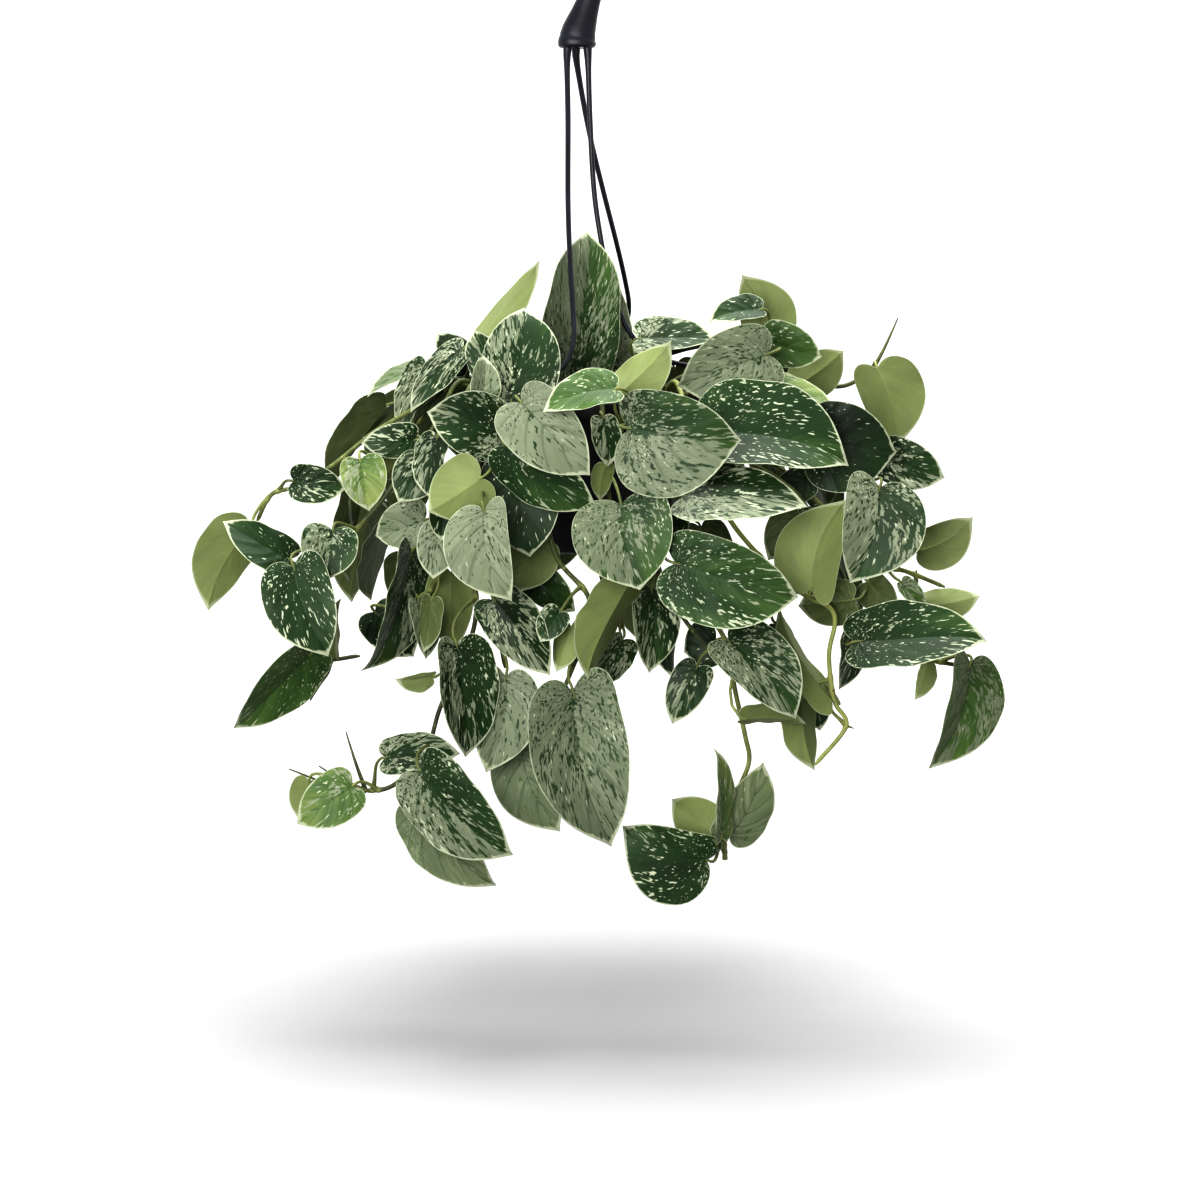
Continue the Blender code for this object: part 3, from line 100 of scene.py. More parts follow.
# Each vine: name, the look of each leaf, hole angle (degrees), hole radius (mm), its way after the rim as
# (u, v, depth), its leaves as (foot u, foot v, tip u, tip v, width, depth of foot, lean of tip, face), and
# shoots as (u, v, depth) pairs.
VINES = (
    ("left_arch", "SO", -170, 62,
     ((420, 405, -8), (375, 432, -14), (332, 466, -20), (300, 486, -22), (272, 494, -22), (257, 521, -20)),
     ((294, 481, 347, 488, 38, -30, 4, TOP_R),
      (250, 528, 207, 610, 55, -26, -6, UNDER_L)), ()),
    ("left_cascade", "DLSNOO", -158, 64,
     ((435, 425, -46), (390, 490, -54), (345, 540, -50), (302, 562, -42), (300, 610, -34), (322, 656, -34),
      (360, 656, -30)),
     ((289, 559, 223, 521, 40, -62, -6, TOP_R),
      (333, 530, 326, 580, 54, -72, -8, TOP_R),
      (293, 566, 328, 656, 67, -82, -10, TOP_R),
      (312, 653, 236, 731, 46, -60, -4, TOP_L),
      (334, 655, 338, 598, 18, -40, 0, UNDER_R),
      (328, 657, 309, 700, 22, -42, 4, UNDER_L)), ()),
    ("left_upper", "VVGD", 166, 60,
     ((455, 380, 16), (438, 370, 18), (424, 374, 14), (413, 386, 10)),
     ((462, 350, 410, 412, 30, -8, 0, TOP_R),
      (426, 366, 400, 437, 28, 1, 0, TOP_R),
      (421, 367, 366, 396, 14, 12, 0, TOP_R),
      (468, 366, 436, 333, 34, 22, 5, TOP_R)), ()),
    ("left_shoulder", "SYO", 178, 46,
     ((440, 392, -4), (415, 420, -14), (398, 445, -18), (375, 462, -20), (352, 490, -20), (353, 538, -22)),
     ((414, 440, 361, 443, 34, -40, -4, TOP_R),
      (360, 460, 369, 511, 44, -50, -4, TOP_L),
      (398, 458, 382, 482, 22, -26, 2, UNDER_R)), ()),
    ("left_inner", "VVDPP", -147, 66,
     ((455, 420, -70), (436, 455, -80), (434, 490, -84), (432, 520, -82), (436, 548, -80)),
     ((425, 462, 398, 502, 44, -96, -6, TOP_R),
      (437, 437, 428, 498, 30, -104, -6, TOP_L),
      (446, 505, 441, 541, 28, -108, -4, TOP_R),
      (425, 520, 375, 536, 46, -72, 4, TOP_R),
      (440, 526, 433, 579, 38, -104, -4, TOP_L)), ()),
    ("left_hang", "PVDPOBK", -136, 68,
     ((476, 440, -90), (460, 500, -94), (447, 560, -92), (430, 590, -86), (420, 620, -80)),
     ((482, 403, 484, 355, 27, -104, 14, TOP_R),
      (412, 552, 369, 674, 42, -86, -4, TOP_L),
      # Painted shade: this leaf fills a place of deep shade, and its dark look stands for that shade as well
      # as for dark green.
      (375, 612, 414, 657, 50, -50, 6, TOP_R),
      (419, 602, 427, 659, 26, -86, -2, TOP_R),
      (452, 573, 455, 650, 46, -84, 0, UNDER_R),
      (432, 600, 424, 653, 22, -96, 0, UNDER_L),
      (400, 592, 403, 623, 18, -66, 0, UNDER_R)), ()),
    ("low_left", "RKVLGYO", -127, 68,
     ((487, 440, -98), (477, 500, -100), (475, 570, -96), (475, 622, -92), (459, 668, -92), (440, 708, -92),
      (424, 758, -92), (392, 786, -90), (366, 791, -88)),
     ((457, 646, 468, 757, 54, -126, -6, TOP_R),
      (432, 678, 396, 681, 18, -82, 6, UNDER_R),
      (386, 757, 460, 752, 38, -100, 2, TOP_R),
      (421, 771, 511, 857, 68, -134, -8, TOP_L),
      (417, 806, 493, 890, 56, -106, 0, TOP_L),
      (352, 786, 297, 824, 50, -102, -4, TOP_R),
      (309, 781, 299, 819, 34, -76, 2, UNDER_R)),
     (((352, 786, -88), (346, 732, -84)), ((330, 790, -80), (289, 769, -72)),
      ((330, 790, -78), (319, 766, -70)))),
    ("centre_silver", "RVYCVPD", -119, 68,
     ((500, 445, -104), (490, 500, -106), (489, 560, -102), (497, 620, -102), (505, 668, -102)),
     ((511, 403, 524, 306, 74, -100, 26, TOP_R),
      (500, 432, 427, 412, 62, -116, -6, TOP_R),
      (481, 478, 428, 512, 58, -130, -4, UNDER_R),
      (484, 510, 512, 601, 60, -148, -6, TOP_R),
      (494, 600, 549, 676, 52, -114, -4, TOP_L),
      (506, 676, 486, 773, 62, -118, -6, TOP_R),
      (516, 462, 530, 557, 72, -120, -4, TOP_R)), ()),
    ("centre_long", "QGVYO", -95, 66,
     ((566, 440, -106), (548, 500, -106), (556, 556, -104), (588, 596, -104), (586, 632, -102),
      (571, 672, -102), (556, 706, -102)),
     ((573, 690, 615, 846, 90, -130, -8, TOP_R),
      (521, 745, 560, 832, 60, -102, 0, TOP_L),
      (560, 612, 540, 642, 28, -124, -4, TOP_R),
      (572, 628, 557, 672, 26, -116, -2, UNDER_R),
      (580, 622, 597, 648, 14, -96, 0, UNDER_R)),
     (((588, 597, -104), (601, 617, -102)),)),
    ("centre_top", "CSKB", -102, 60,
     ((540, 432, -102), (530, 460, -104), (528, 500, -104), (530, 548, -100)),
     ((521, 402, 590, 475, 66, -140, -6, TOP_R),
      (506, 446, 597, 507, 56, -128, -4, TOP_L),
      (531, 541, 519, 592, 56, -106, 0, UNDER_R),
      (528, 572, 575, 612, 36, -90, 0, TOP_L)), ()),
    ("centre_heart", "HVOOV", -87, 68,
     ((604, 430, -104), (606, 470, -108), (612, 520, -108), (618, 575, -104), (620, 632, -98)),
     ((621, 504, 640, 590, 92, -144, -6, TOP_R),
      (603, 419, 608, 467, 27, -126, -2, TOP_R),
      (605, 466, 600, 501, 20, -122, 0, UNDER_R),
      (629, 581, 583, 677, 40, -122, 4, UNDER_L),
      (622, 640, 580, 691, 32, -98, 2, TOP_L)), ()),
    ("crown_left", "OV", -155, 34,
     ((514, 388, -34), (500, 376, -20), (487, 362, -4)),
     ((474, 346, 540, 261, 26, 10, 6, UNDER_R),
      (498, 380, 472, 330, 36, -16, 8, TOP_L)), ()),
    ("crown_centre", "HP", -70, 26,
     ((592, 390, -18), (603, 384, -10), (612, 374, 2)),
     ((573, 386, 594, 231, 74, -26, 12, TOP_R),
      (619, 368, 613, 272, 40, 14, 6, TOP_L)), ()),
    ("lime_front", "NY", -79, 58,
     ((622, 425, -108), (617, 440, -114)),
     ((614, 389, 543, 412, 34, -150, 0, TOP_R),
      (619, 395, 672, 343, 42, -118, 6, UNDER_R)), ()),
    ("right_grey", "HVLVS", -57, 68,
     ((662, 430, -104), (668, 470, -112), (670, 510, -112), (675, 545, -110)),
     ((629, 428, 741, 440, 96, -134, -4, TOP_R),
      (690, 478, 618, 469, 40, -116, 4, TOP_R),
      (684, 496, 808, 503, 52, -134, -4, TOP_R),
      (673, 541, 684, 509, 24, -118, 2, TOP_R),
      (675, 563, 799, 597, 80, -150, -4, TOP_R)), ()),
    ("right_dark", "SDDV", -40, 66,
     ((712, 428, -84), (745, 445, -90), (790, 452, -88), (830, 456, -80), (870, 460, -70)),
     ((706, 432, 850, 462, 78, -118, -2, TOP_R),
      (815, 440, 897, 452, 84, -94, 2, TOP_L),
      # Painted shade: this leaf fills a place of deep shade, and its dark look stands for that shade as well
      # as for dark green.
      (808, 478, 770, 502, 34, -84, 4, TOP_L),
      (884, 456, 945, 478, 46, -78, -2, TOP_R)), ()),
    ("right_top", "PYVDNY", -10, 52,
     ((722, 385, -18), (745, 374, -24), (765, 364, -28), (770, 346, -24)),
     ((768, 354, 678, 386, 72, -92, -4, TOP_R),
      (757, 392, 838, 407, 28, -80, 2, TOP_R),
      (640, 338, 717, 338, 32, -45, 0, TOP_R),
      (760, 309, 709, 320, 24, -30, 0, TOP_R),
      (766, 340, 822, 357, 42, -52, -2, TOP_R),
      (764, 346, 742, 275, 56, -8, 4, UNDER_R)), ()),
    ("right_high", "YO", 12, 58,
     ((735, 374, 14), (770, 378, 2), (805, 383, -8), (843, 386, -14), (872, 371, -15)),
     ((800, 384, 843, 351, 44, -28, 2, UNDER_R),
      (877, 368, 898, 446, 62, -32, -4, UNDER_R)),
     (((872, 371, -15), (898, 318, -10)),)),
    ("right_heart", "HOYKBB", -31, 68,
     ((735, 440, -56), (785, 472, -72), (835, 520, -80), (868, 562, -74), (905, 571, -64), (945, 587, -60)),
     ((880, 487, 850, 583, 78, -118, -6, TOP_R),
      (918, 551, 973, 517, 44, -70, 2, UNDER_R),
      (926, 606, 980, 596, 32, -62, 0, UNDER_R),
      (902, 583, 926, 612, 18, -74, 0, TOP_R),
      (868, 582, 898, 611, 34, -84, 0, UNDER_L),
      (852, 600, 798, 606, 44, -90, 0, UNDER_R)), ()),
    ("right_far", "SDOK", -22, 66,
     ((748, 425, -46), (790, 480, -54), (835, 560, -60), (862, 618, -62), (890, 650, -64), (940, 662, -60),
      (965, 666, -58)),
     ((857, 641, 987, 633, 60, -100, -4, TOP_R),
      (860, 616, 840, 690, 28, -86, 0, TOP_L),
      (928, 664, 916, 700, 18, -56, 0, UNDER_R),
      (971, 663, 931, 770, 52, -66, -2, TOP_L)), ()),
    ("right_low", "BYOBLYOD", -49, 68,
     ((695, 440, -96), (730, 520, -104), (790, 585, -102), (833, 612, -100), (829, 655, -100),
      (834, 700, -98), (846, 726, -96), (815, 765, -94)),
     ((800, 515, 768, 560, 42, -104, 4, UNDER_R),
      (811, 590, 846, 500, 62, -114, 4, UNDER_R),
      (830, 701, 776, 608, 26, -98, 0, UNDER_R),
      (779, 627, 805, 679, 26, -80, 2, TOP_L),
      (728, 640, 797, 718, 60, -128, -6, TOP_R),
      (744, 718, 806, 722, 18, -112, 0, UNDER_L),
      (801, 700, 812, 770, 34, -90, -2, UNDER_R),
      (816, 690, 820, 731, 28, -82, 0, TOP_L)), ()),
    ("low_right", "OGYS", -65, 54,
     ((648, 450, -104), (668, 520, -108), (700, 600, -104), (725, 640, -100), (735, 690, -98),
      (745, 735, -96), (749, 762, -95), (736, 795, -95), (725, 830, -95), (725, 859, -95)),
     ((717, 834, 672, 799, 46, -102, 2, UNDER_L),
      (729, 836, 763, 762, 46, -110, 2, TOP_L),
      (722, 834, 718, 749, 17, -120, 0, TOP_R),
      (707, 860, 623, 826, 72, -114, -4, TOP_L)), ()),
    ("centre_dark", "VDTD", -72, 70,
     ((636, 440, -104), (648, 500, -104), (655, 560, -98), (672, 600, -96), (700, 640, -94), (718, 655, -92)),
     ((652, 590, 650, 673, 44, -96, 0, TOP_R),
      (672, 602, 672, 680, 26, -84, 0, TOP_L),
      (697, 667, 671, 724, 38, -90, -2, TOP_R),
      # Painted shade: this leaf fills a place of deep shade, and its dark look stands for that shade as well
      # as for dark green.
      (716, 640, 684, 652, 46, -78, 4, TOP_R)), ()),
)

# Fine leaves that grew lopsided: how far the middle swings to the side, how much wider that side is, and how
# far the widest part moves to the tip. The side is a quarter turn to the left of the tip, seen from above.
HABITS = {
    ("left_arch", 1): (0.06, 0.1, 0.0), ("left_cascade", 0): (0.05, 0.1, 0.0),
    ("left_cascade", 2): (-0.05, -0.08, 0.1), ("left_cascade", 3): (-0.05, -0.1, 0.0),
    ("left_hang", 1): (0.04, 0.0, 0.1), ("low_left", 0): (-0.02, 0.06, 0.2),
    ("low_left", 3): (-0.03, -0.08, 0.1), ("centre_silver", 3): (-0.11, -0.2, 0.0),
    ("centre_silver", 4): (0.05, 0.1, 0.0), ("centre_silver", 5): (0.07, 0.1, 0.0),
    ("centre_long", 0): (-0.09, -0.22, 0.1), ("centre_long", 1): (-0.08, -0.1, 0.0),
    ("centre_heart", 0): (-0.04, -0.05, 0.0), ("crown_centre", 0): (0.03, 0.3, 0.3),
    ("crown_left", 0): (-0.07, -0.1, 0.2), ("lime_front", 0): (-0.06, -0.1, 0.0),
    ("right_grey", 0): (-0.03, -0.2, 0.0), ("right_grey", 4): (-0.03, -0.06, 0.1),
    ("right_dark", 0): (0.05, 0.14, 0.2), ("right_heart", 0): (0.1, 0.2, 0.0),
    ("right_heart", 1): (0.09, 0.15, 0.0), ("right_low", 1): (-0.1, -0.2, 0.0),
    ("right_low", 4): (0.04, 0.06, 0.1), ("right_far", 0): (-0.02, -0.06, 0.1),
    ("right_far", 3): (0.1, 0.12, 0.0), ("right_high", 1): (-0.06, -0.14, 0.0),
    ("right_top", 5): (0.11, 0.2, 0.1), ("low_right", 1): (-0.05, -0.1, 0.0),
    ("low_right", 3): (0.1, 0.28, 0.1),
}

# How the stems and leaves lie clear of each other, as in the solids: the quarter step of the stem's line from
# which each petiole grows, how far points of the stem gave way, and how far blades did, in millimetres along
# each one's push. The sags are how far the middle of a petiole gave way.
SETTLED: dict[str, tuple[tuple[int, ...], dict[int, float], dict[int, float]]] = {
    "left_arch": ((31, 33), {4: -0.7333, 5: 5.5}, {}),
    "left_cascade": ((31, 27, 30, 38, 41, 39), {5: 1.1, 6: 1.1}, {1: 2.2, 2: -2.2, 4: -3.3, 5: 3.3}),
    "left_upper": ((11, 17, 16, 10), {}, {0: -4.7667, 1: 4.95, 2: 15.4, 3: 3.3}),
    "left_shoulder": ((22, 28, 24), {4: 3.3, 5: 3.3}, {1: -1.1}),
    "left_inner": ((20, 18, 24, 28, 25), {}, {}),
    "left_hang": ((16, 21, 32, 28, 23, 26, 30), {}, {0: -4.4, 3: -2.2, 4: 4.4, 5: -6.6}),
    "low_left": ((26, 33, 47, 39, 43, 46, 48), {}, {0: -1.1}),
    "centre_silver": ((20, 19, 21, 23, 29, 34, 18), {}, {0: 4.4, 1: 1.1, 2: -3.3, 5: 1.1, 6: 3.3}),
    "centre_long": ((33, 40, 27, 29, 30), {5: -1.1, 6: -1.1}, {}),
    "centre_top": ((16, 18, 26, 28), {4: -3.3}, {0: -2.2, 1: -2.2, 2: 1.1}),
    "centre_heart": ((20, 16, 19, 26, 31), {}, {3: -4.4, 4: 2.2}),
    "crown_left": ((19, 15), {}, {0: 1.1, 1: -12.1}),
    "crown_centre": ((8, 20), {}, {0: -1.1}),
    "lime_front": ((16, 18), {}, {0: -5.5}),
    "right_grey": ((16, 25, 22, 28, 27), {6: -1.1, 7: -1.1}, {0: -11}),
    "right_dark": ((16, 23, 27, 31), {}, {}),
    "right_top": ((20, 17, 8, 24, 22, 21), {}, {}),
    "right_high": ((24, 32), {}, {}),
    "right_heart": ((24, 31, 33, 30, 28, 29), {4: -1.1}, {5: -3.3}),
    "right_far": ((32, 30, 39, 40), {}, {0: -6.6, 1: 5.5}),
    "right_low": ((16, 34, 48, 32, 28, 31, 42, 43), {},
                  {0: 1.1, 1: -1.1, 2: -3.3, 3: 3.3, 6: -4.4, 7: 4.4}),
    "low_right": ((54, 56, 55, 53), {4: 1.1, 5: 2.2, 6: 1.1}, {1: 3.3, 2: -3.3, 3: -1.1}),
    "centre_dark": ((24, 26, 34, 36), {}, {0: -1.1, 1: 9.9}),
    "back_right_high": ((16, 19, 21, 24, 28), {}, {0: -1.1, 1: -2.2, 2: -2.2, 3: 4.4}),
    "back_right": ((16, 20, 22, 26, 29), {}, {}),
    "back_right_inner": ((16, 18, 21, 25, 30), {}, {0: -1.1, 1: -1.4667, 2: 4.4, 3: 1.1}),
    "back_centre": ((16, 20, 23, 27, 29), {}, {0: -6.6}),
    "back_centre_left": ((16, 18, 21, 25, 29), {}, {}),
    "back_left": ((16, 20, 24, 26, 29), {}, {0: 1.1}),
    "back_left_high": ((16, 19, 21, 25, 28), {}, {0: 1.1, 2: -1.1, 3: 1.1}),
    "crown_back": ((11, 10, 12, 13), {}, {0: 12.1, 1: 12.1}),
}
SAGS = {("left_upper", 0): -3.08, ("centre_silver", 2): 3.08, ("lime_front", 0): 15.4}

# Stems paler than the rest.
PALE_STEMS = {"right_low": 0.95, "low_right": 0.75, "left_arch": 0.6, "right_heart": 0.65}

# Vines behind the pot: name, angle (degrees), hole radius (mm), length below the rim (mm), leaves and seed.
BACK_VINES = (
    ("back_right_high", 25, 62, 92, 5, 11),
    ("back_right", 46, 60, 132, 5, 12),
    ("back_right_inner", 67, 62, 100, 5, 13),
    ("back_centre", 88, 60, 134, 5, 14),
    ("back_centre_left", 110, 62, 104, 5, 15),
    ("back_left", 132, 60, 128, 5, 16),
    ("back_left_high", 152, 62, 94, 5, 17),
)
CROWN_BACK = ("crown_back", 95, 24, 18)
CROWN_TURNS = (5, 45, 108, 146)
BACK_RADIUS = 104
BACK_REACH = (84, 30)
BACK_LOOKS = "SDVLRPCGHQTVDS"
BACK_LOOK_SEED = 5


class Cover(IntEnum):
    """The place of each material in a leafy stem's list."""

    TOP = 0
    UNDER = 1
    RIM = 2
    STEM = 3
    ROOT = 4


class Look(Enum):
    """How a leaf is marked, with the letter that the layout uses."""

    # Dark green. On the leaves that fill deep shade among the others, this dark look is also painted shade.
    DARK = "D"
    SPOTTED = "S"
    VARIEGATED = "V"
    HALF_SILVER = "L"
    HEART_SILVER = "H"
    STREAKED = "R"
    PALE = "P"
    CREAM = "C"
    GREY_GREEN = "G"
    GREY_SPECKED = "Q"
    GREY_OLIVE = "K"
    YOUNG = "Y"
    BRIGHT = "N"
    SILVER_TIP = "T"
    OLIVE_BACK = "O"
    DARK_BACK = "B"


@dataclass(frozen=True)
class Pattern:
    """The shares that a look gives to each marking, from 0 to 1.

    Args:
        silver: How much of the blade is silver.
        spots: How many cream spots it has.
        tone: Its green, from dark 0 to lime 1.
        split: How strongly the silver keeps to one half, positive for the half on the viewer's left.
        specks: How many dark specks break the silver.
        cream: How far the silver turns to cream.
        tip: How far the silver gathers at the tip.
    """

    silver: float
    spots: float
    tone: float
    split: float = 0.0
    specks: float = 0.5
    cream: float = 0.3
    tip: float = 0.0


PATTERNS: dict[Look, Pattern] = {
    # Dark green, and painted shade on the leaves that fill deep shade.
    Look.DARK: Pattern(0.10, 0.30, 0.12),
    Look.SPOTTED: Pattern(0.14, 0.65, 0.28),
    Look.VARIEGATED: Pattern(0.44, 0.55, 0.20, 0.15, 0.6, 0.10),
    Look.HALF_SILVER: Pattern(0.50, 0.50, 0.24, 0.55, 0.7, 0.10),
    Look.HEART_SILVER: Pattern(0.58, 0.35, 0.30, 0.5, 0.6, 0.10),
    Look.STREAKED: Pattern(0.44, 0.50, 0.16, 0.4, 0.8, 0.10),
    Look.PALE: Pattern(0.84, 0.15, 0.30, 0.0, 0.60, 0.12),
    Look.CREAM: Pattern(0.94, 0.10, 0.30, 0.0, 0.40, 0.22),
    Look.GREY_GREEN: Pattern(0.95, 0.05, 0.60, 0.0, 0.25, 0.0),
    Look.GREY_SPECKED: Pattern(0.84, 0.10, 0.26, 0.1, 0.85, 0.05),
    Look.GREY_OLIVE: Pattern(0.60, 0.15, 0.50, 0.2, 0.55, 0.10),
    Look.YOUNG: Pattern(0.34, 0.40, 0.68, 0.2, 0.4, 0.4),
    Look.BRIGHT: Pattern(0.12, 0.55, 0.44, 0.2, 0.4, 0.4),
    Look.SILVER_TIP: Pattern(0.30, 0.30, 0.18, 0.25, 0.6, 0.2, 0.8),
    Look.OLIVE_BACK: Pattern(0.18, 0.45, 0.66),
    Look.DARK_BACK: Pattern(0.12, 0.40, 0.24),
}


def view_centre() -> Vector:
    """Return the point that the viewer looks at."""
    height = -(VIEW_V - HOOK_V) * UNIT / math.cos(VIEW_ELEVATION)
    return Vector(((VIEW_U - AXIS_U) * UNIT, 0.0, height))


def view_eye() -> Vector:
    """Return the viewer's place."""
    back = Vector((0.0, -math.cos(VIEW_ELEVATION), math.sin(VIEW_ELEVATION)))
    return view_centre() + back * VIEW_DISTANCE


def at(u: float, v: float, depth: float) -> Vector:
    """Find the world point that the viewer sees at a place of the view.

    Args:
        u: How far right it is seen.
        v: How far down it is seen.
        depth: Its Y in millimetres.

    Returns:
        The point.
    """
    y = depth * MM
    cos_e = math.cos(VIEW_ELEVATION)
    sin_e = math.sin(VIEW_ELEVATION)
    slope = (VIEW_V - v) * UNIT / VIEW_DISTANCE
    rise = (slope * (VIEW_DISTANCE + y * cos_e) - y * sin_e) / (cos_e + slope * sin_e)
    along = VIEW_DISTANCE + y * cos_e - rise * sin_e
    centre = view_centre()
    return Vector((centre.x + (u - VIEW_U) * UNIT * along / VIEW_DISTANCE, y, centre.z + rise))


def around(radius: float, angle: float, z: float) -> Vector:
    """Return a point at a radius and an angle in degrees about the pot's axis."""
    turn = math.radians(angle)
    return Vector((radius * math.cos(turn), radius * math.sin(turn), z))


def span_counts(points: Sequence[Vector], step: float) -> list[int]:
    """Return how many steps fit between each point and the next."""
    return [max(1, round((b - a).length / step)) for a, b in zip(points, points[1:])]


def spline(p0: Vector, p1: Vector, p2: Vector, p3: Vector, t: float) -> Vector:
    """Return the point of a Catmull-Rom curve at a share t of the way from p1 to p2."""
    return 0.5 * (2 * p1 + (p2 - p0) * t + (2 * p0 - 5 * p1 + 4 * p2 - p3) * t * t
                  + (3 * p1 - p0 - 3 * p2 + p3) * t ** 3)


def smooth_line(points: Sequence[Vector], counts: Sequence[int]) -> list[Vector]:
    """Draw a Catmull-Rom curve through points.

    Args:
        points: The points that the curve passes through.
        counts: The steps between each point and the next.

    Returns:
        The points of the curve.
    """
    line = [points[0].copy()]
    for i, count in enumerate(counts):
        p1, p2 = points[i], points[i + 1]
        p0 = points[i - 1] if i else p1 * 2 - p2
        p3 = points[i + 2] if i + 2 < len(points) else p2 * 2 - p1
        line += [spline(p0, p1, p2, p3, k / count) for k in range(1, count + 1)]
    return line


def ring_frames(line: Sequence[Vector]) -> list[tuple[Vector, Vector]]:
    """Carry two directions across a line along it, turned as little as possible.

    Args:
        line: The points of the line.

    Returns:
        The two directions at each point.
    """
    tangents = []
    for i in range(len(line)):
        tangents.append((line[min(i + 1, len(line) - 1)] - line[max(i - 1, 0)]).normalized())
    start = Vector((0, 0, 1)) if abs(tangents[0].z) < 0.8 else Vector((1, 0, 0))
    side = tangents[0].cross(start).normalized()
    frames = []
    for tangent in tangents:
        side = (side - tangent * side.dot(tangent)).normalized()
        frames.append((side, tangent.cross(side)))
    return frames


@dataclass
class Leaf:
    """One leaf: where its blade lies, how it is marked, and how far it has given way.

    Args:
        foot: Where the petiole meets the blade.
        tip: The blade's tip.
        normal: The way its upper face looks.
        width: Its full width.
        push: The way it gives.
        seed: The seed of its own small differences.
        look: How it is marked.
        shift: How far the blade has given way.
        sag: How far the petiole has.
        joint: The quarter step of the stem's line from which the petiole grows.
    """

    foot: Vector
    tip: Vector
    normal: Vector
    width: float
    push: Vector
    seed: int
    look: Look = Look.SPOTTED
    shift: float = 0.0
    sag: float = 0.0
    joint: int = 0

    def __post_init__(self) -> None:
        """Work out the blade's own directions and draw its small differences."""
        draw = random.Random(self.seed)
        self.length = (self.tip - self.foot).length
        self.axis = (self.tip - self.foot).normalized()
        self.normal = (self.normal - self.axis * self.normal.dot(self.axis)).normalized()
        self.across = self.normal.cross(self.axis)
        self.fold = draw.uniform(0.16, 0.30)
        self.skew = draw.uniform(-0.07, 0.07)
        self.wave = draw.uniform(0.02, 0.06)
        self.phase = draw.uniform(0.0, 6.28)

    def half(self, s: float) -> float:
        """Return the half width on the side of s."""
        return 0.5 * self.width * (1.0 + self.skew * math.copysign(1.0, s))

    def height(self, t: float, s: float) -> float:
        """Return how far the middle surface stands above the flat at a share t along and s across."""
        half = self.half(s)
        bow = BLADE_ARCH * self.length * 4.0 * t * (1.0 - t)
        lift = self.fold * half * abs(s) ** 1.5
        ripple = self.wave * half * s * s * math.sin(9.0 * t + self.phase * math.copysign(1.0, s))
        return bow + lift + ripple

    def surface(self, t: float, s: float) -> Vector:
        """Return the middle surface's point at a share t of the length and s of the half width."""
        foot = self.foot + self.push * self.shift
        along = foot + self.axis * (self.length * t)
        return along + self.across * (self.half(s) * s) + self.normal * self.height(t, s)

    def petiole(self, start: Vector, count: int) -> list[Vector]:
        """Return the petiole's middle line, from the blade's foot to a point of the stem.

        Args:
            start: The point of the stem.
            count: The steps along the petiole.

        Returns:
            The points of the line, the foot first.
        """
        foot = self.foot + self.push * self.shift
        reach = (foot - start).length
        bank = self.normal * math.copysign(reach, (start - foot).dot(self.normal))
        neck = foot - self.axis * (2.5 * MM) + bank.normalized() * (0.6 * MM)
        back = self.axis * (0.24 * reach)
        bend = start + (foot - start) * 0.35 + bank * 0.12 + self.push * self.sag
        bend += Vector((0.0, 0.0, 0.12 * reach))
        near = neck - back + bank * 0.20 + self.push * (0.6 * self.sag)
        line = [foot]
        for k in range(count + 1):
            t = 1.0 - k / count
            line.append(start * (1 - t) ** 3 + bend * (3 * t * (1 - t) ** 2) + near * (3 * t * t * (1 - t))
                        + neck * t ** 3)
        return line


@dataclass
class Vine:
    """One leafy stem, which leads from its hole in the soil over the rim to its own points.

    Args:
        name: The vine's name.
        angle: Where its hole is, in degrees about the pot's axis.
        radius: How far out its hole is, in millimetres.
        points: Its way after the rim, to which its way from the hole is added.
        pushes: The way that each of those points gives.
        leaves: Its leaves.
        shoots: Its bare side shoots, each from one point to another.
    """

    name: str
    angle: float
    radius: float
    points: list[Vector]
    pushes: list[Vector]
    leaves: list[Leaf] = field(default_factory=list)
    shoots: list[tuple[Vector, Vector]] = field(default_factory=list)

    def __post_init__(self) -> None:
        """Lead the stem from its hole up and over the rim."""
        self.hole = around(self.radius * MM, self.angle, 0.0)
        soil = RIM_Z - SOIL_DROP
        heights = (soil - HOLE_DEPTH + GAP, soil - 8 * MM, soil + 8 * MM)
        way = [self.hole + Vector((0, 0, z)) for z in heights]
        first = self.points[0]
        if Vector(first[:2]).length > RIM_RADIUS:
            crest = nearest_turn(math.degrees(math.atan2(first.y, first.x)), self.angle)
            way.append(around(RIM_RADIUS - 4 * MM, 0.5 * (self.angle + crest), RIM_Z + 11 * MM))
        self.points = way + self.points
        self.pushes = [BLANK] * len(way) + self.pushes
        self.counts = span_counts(self.points, STEM_STEP)
        self.shifts = [0.0] * len(self.points)

    def line(self, fineness: int = 1) -> list[Vector]:
        """Return the stem's middle line, with so many points for each step of the plain one."""
        moved = [p + d * s for p, d, s in zip(self.points, self.pushes, self.shifts)]
        return smooth_line(moved, [count * fineness for count in self.counts])


def nearest_turn(angle: float, reference: float) -> float:
    """Return the angle written within half a turn of a reference."""
    return reference + (angle - reference + 180.0) % 360.0 - 180.0


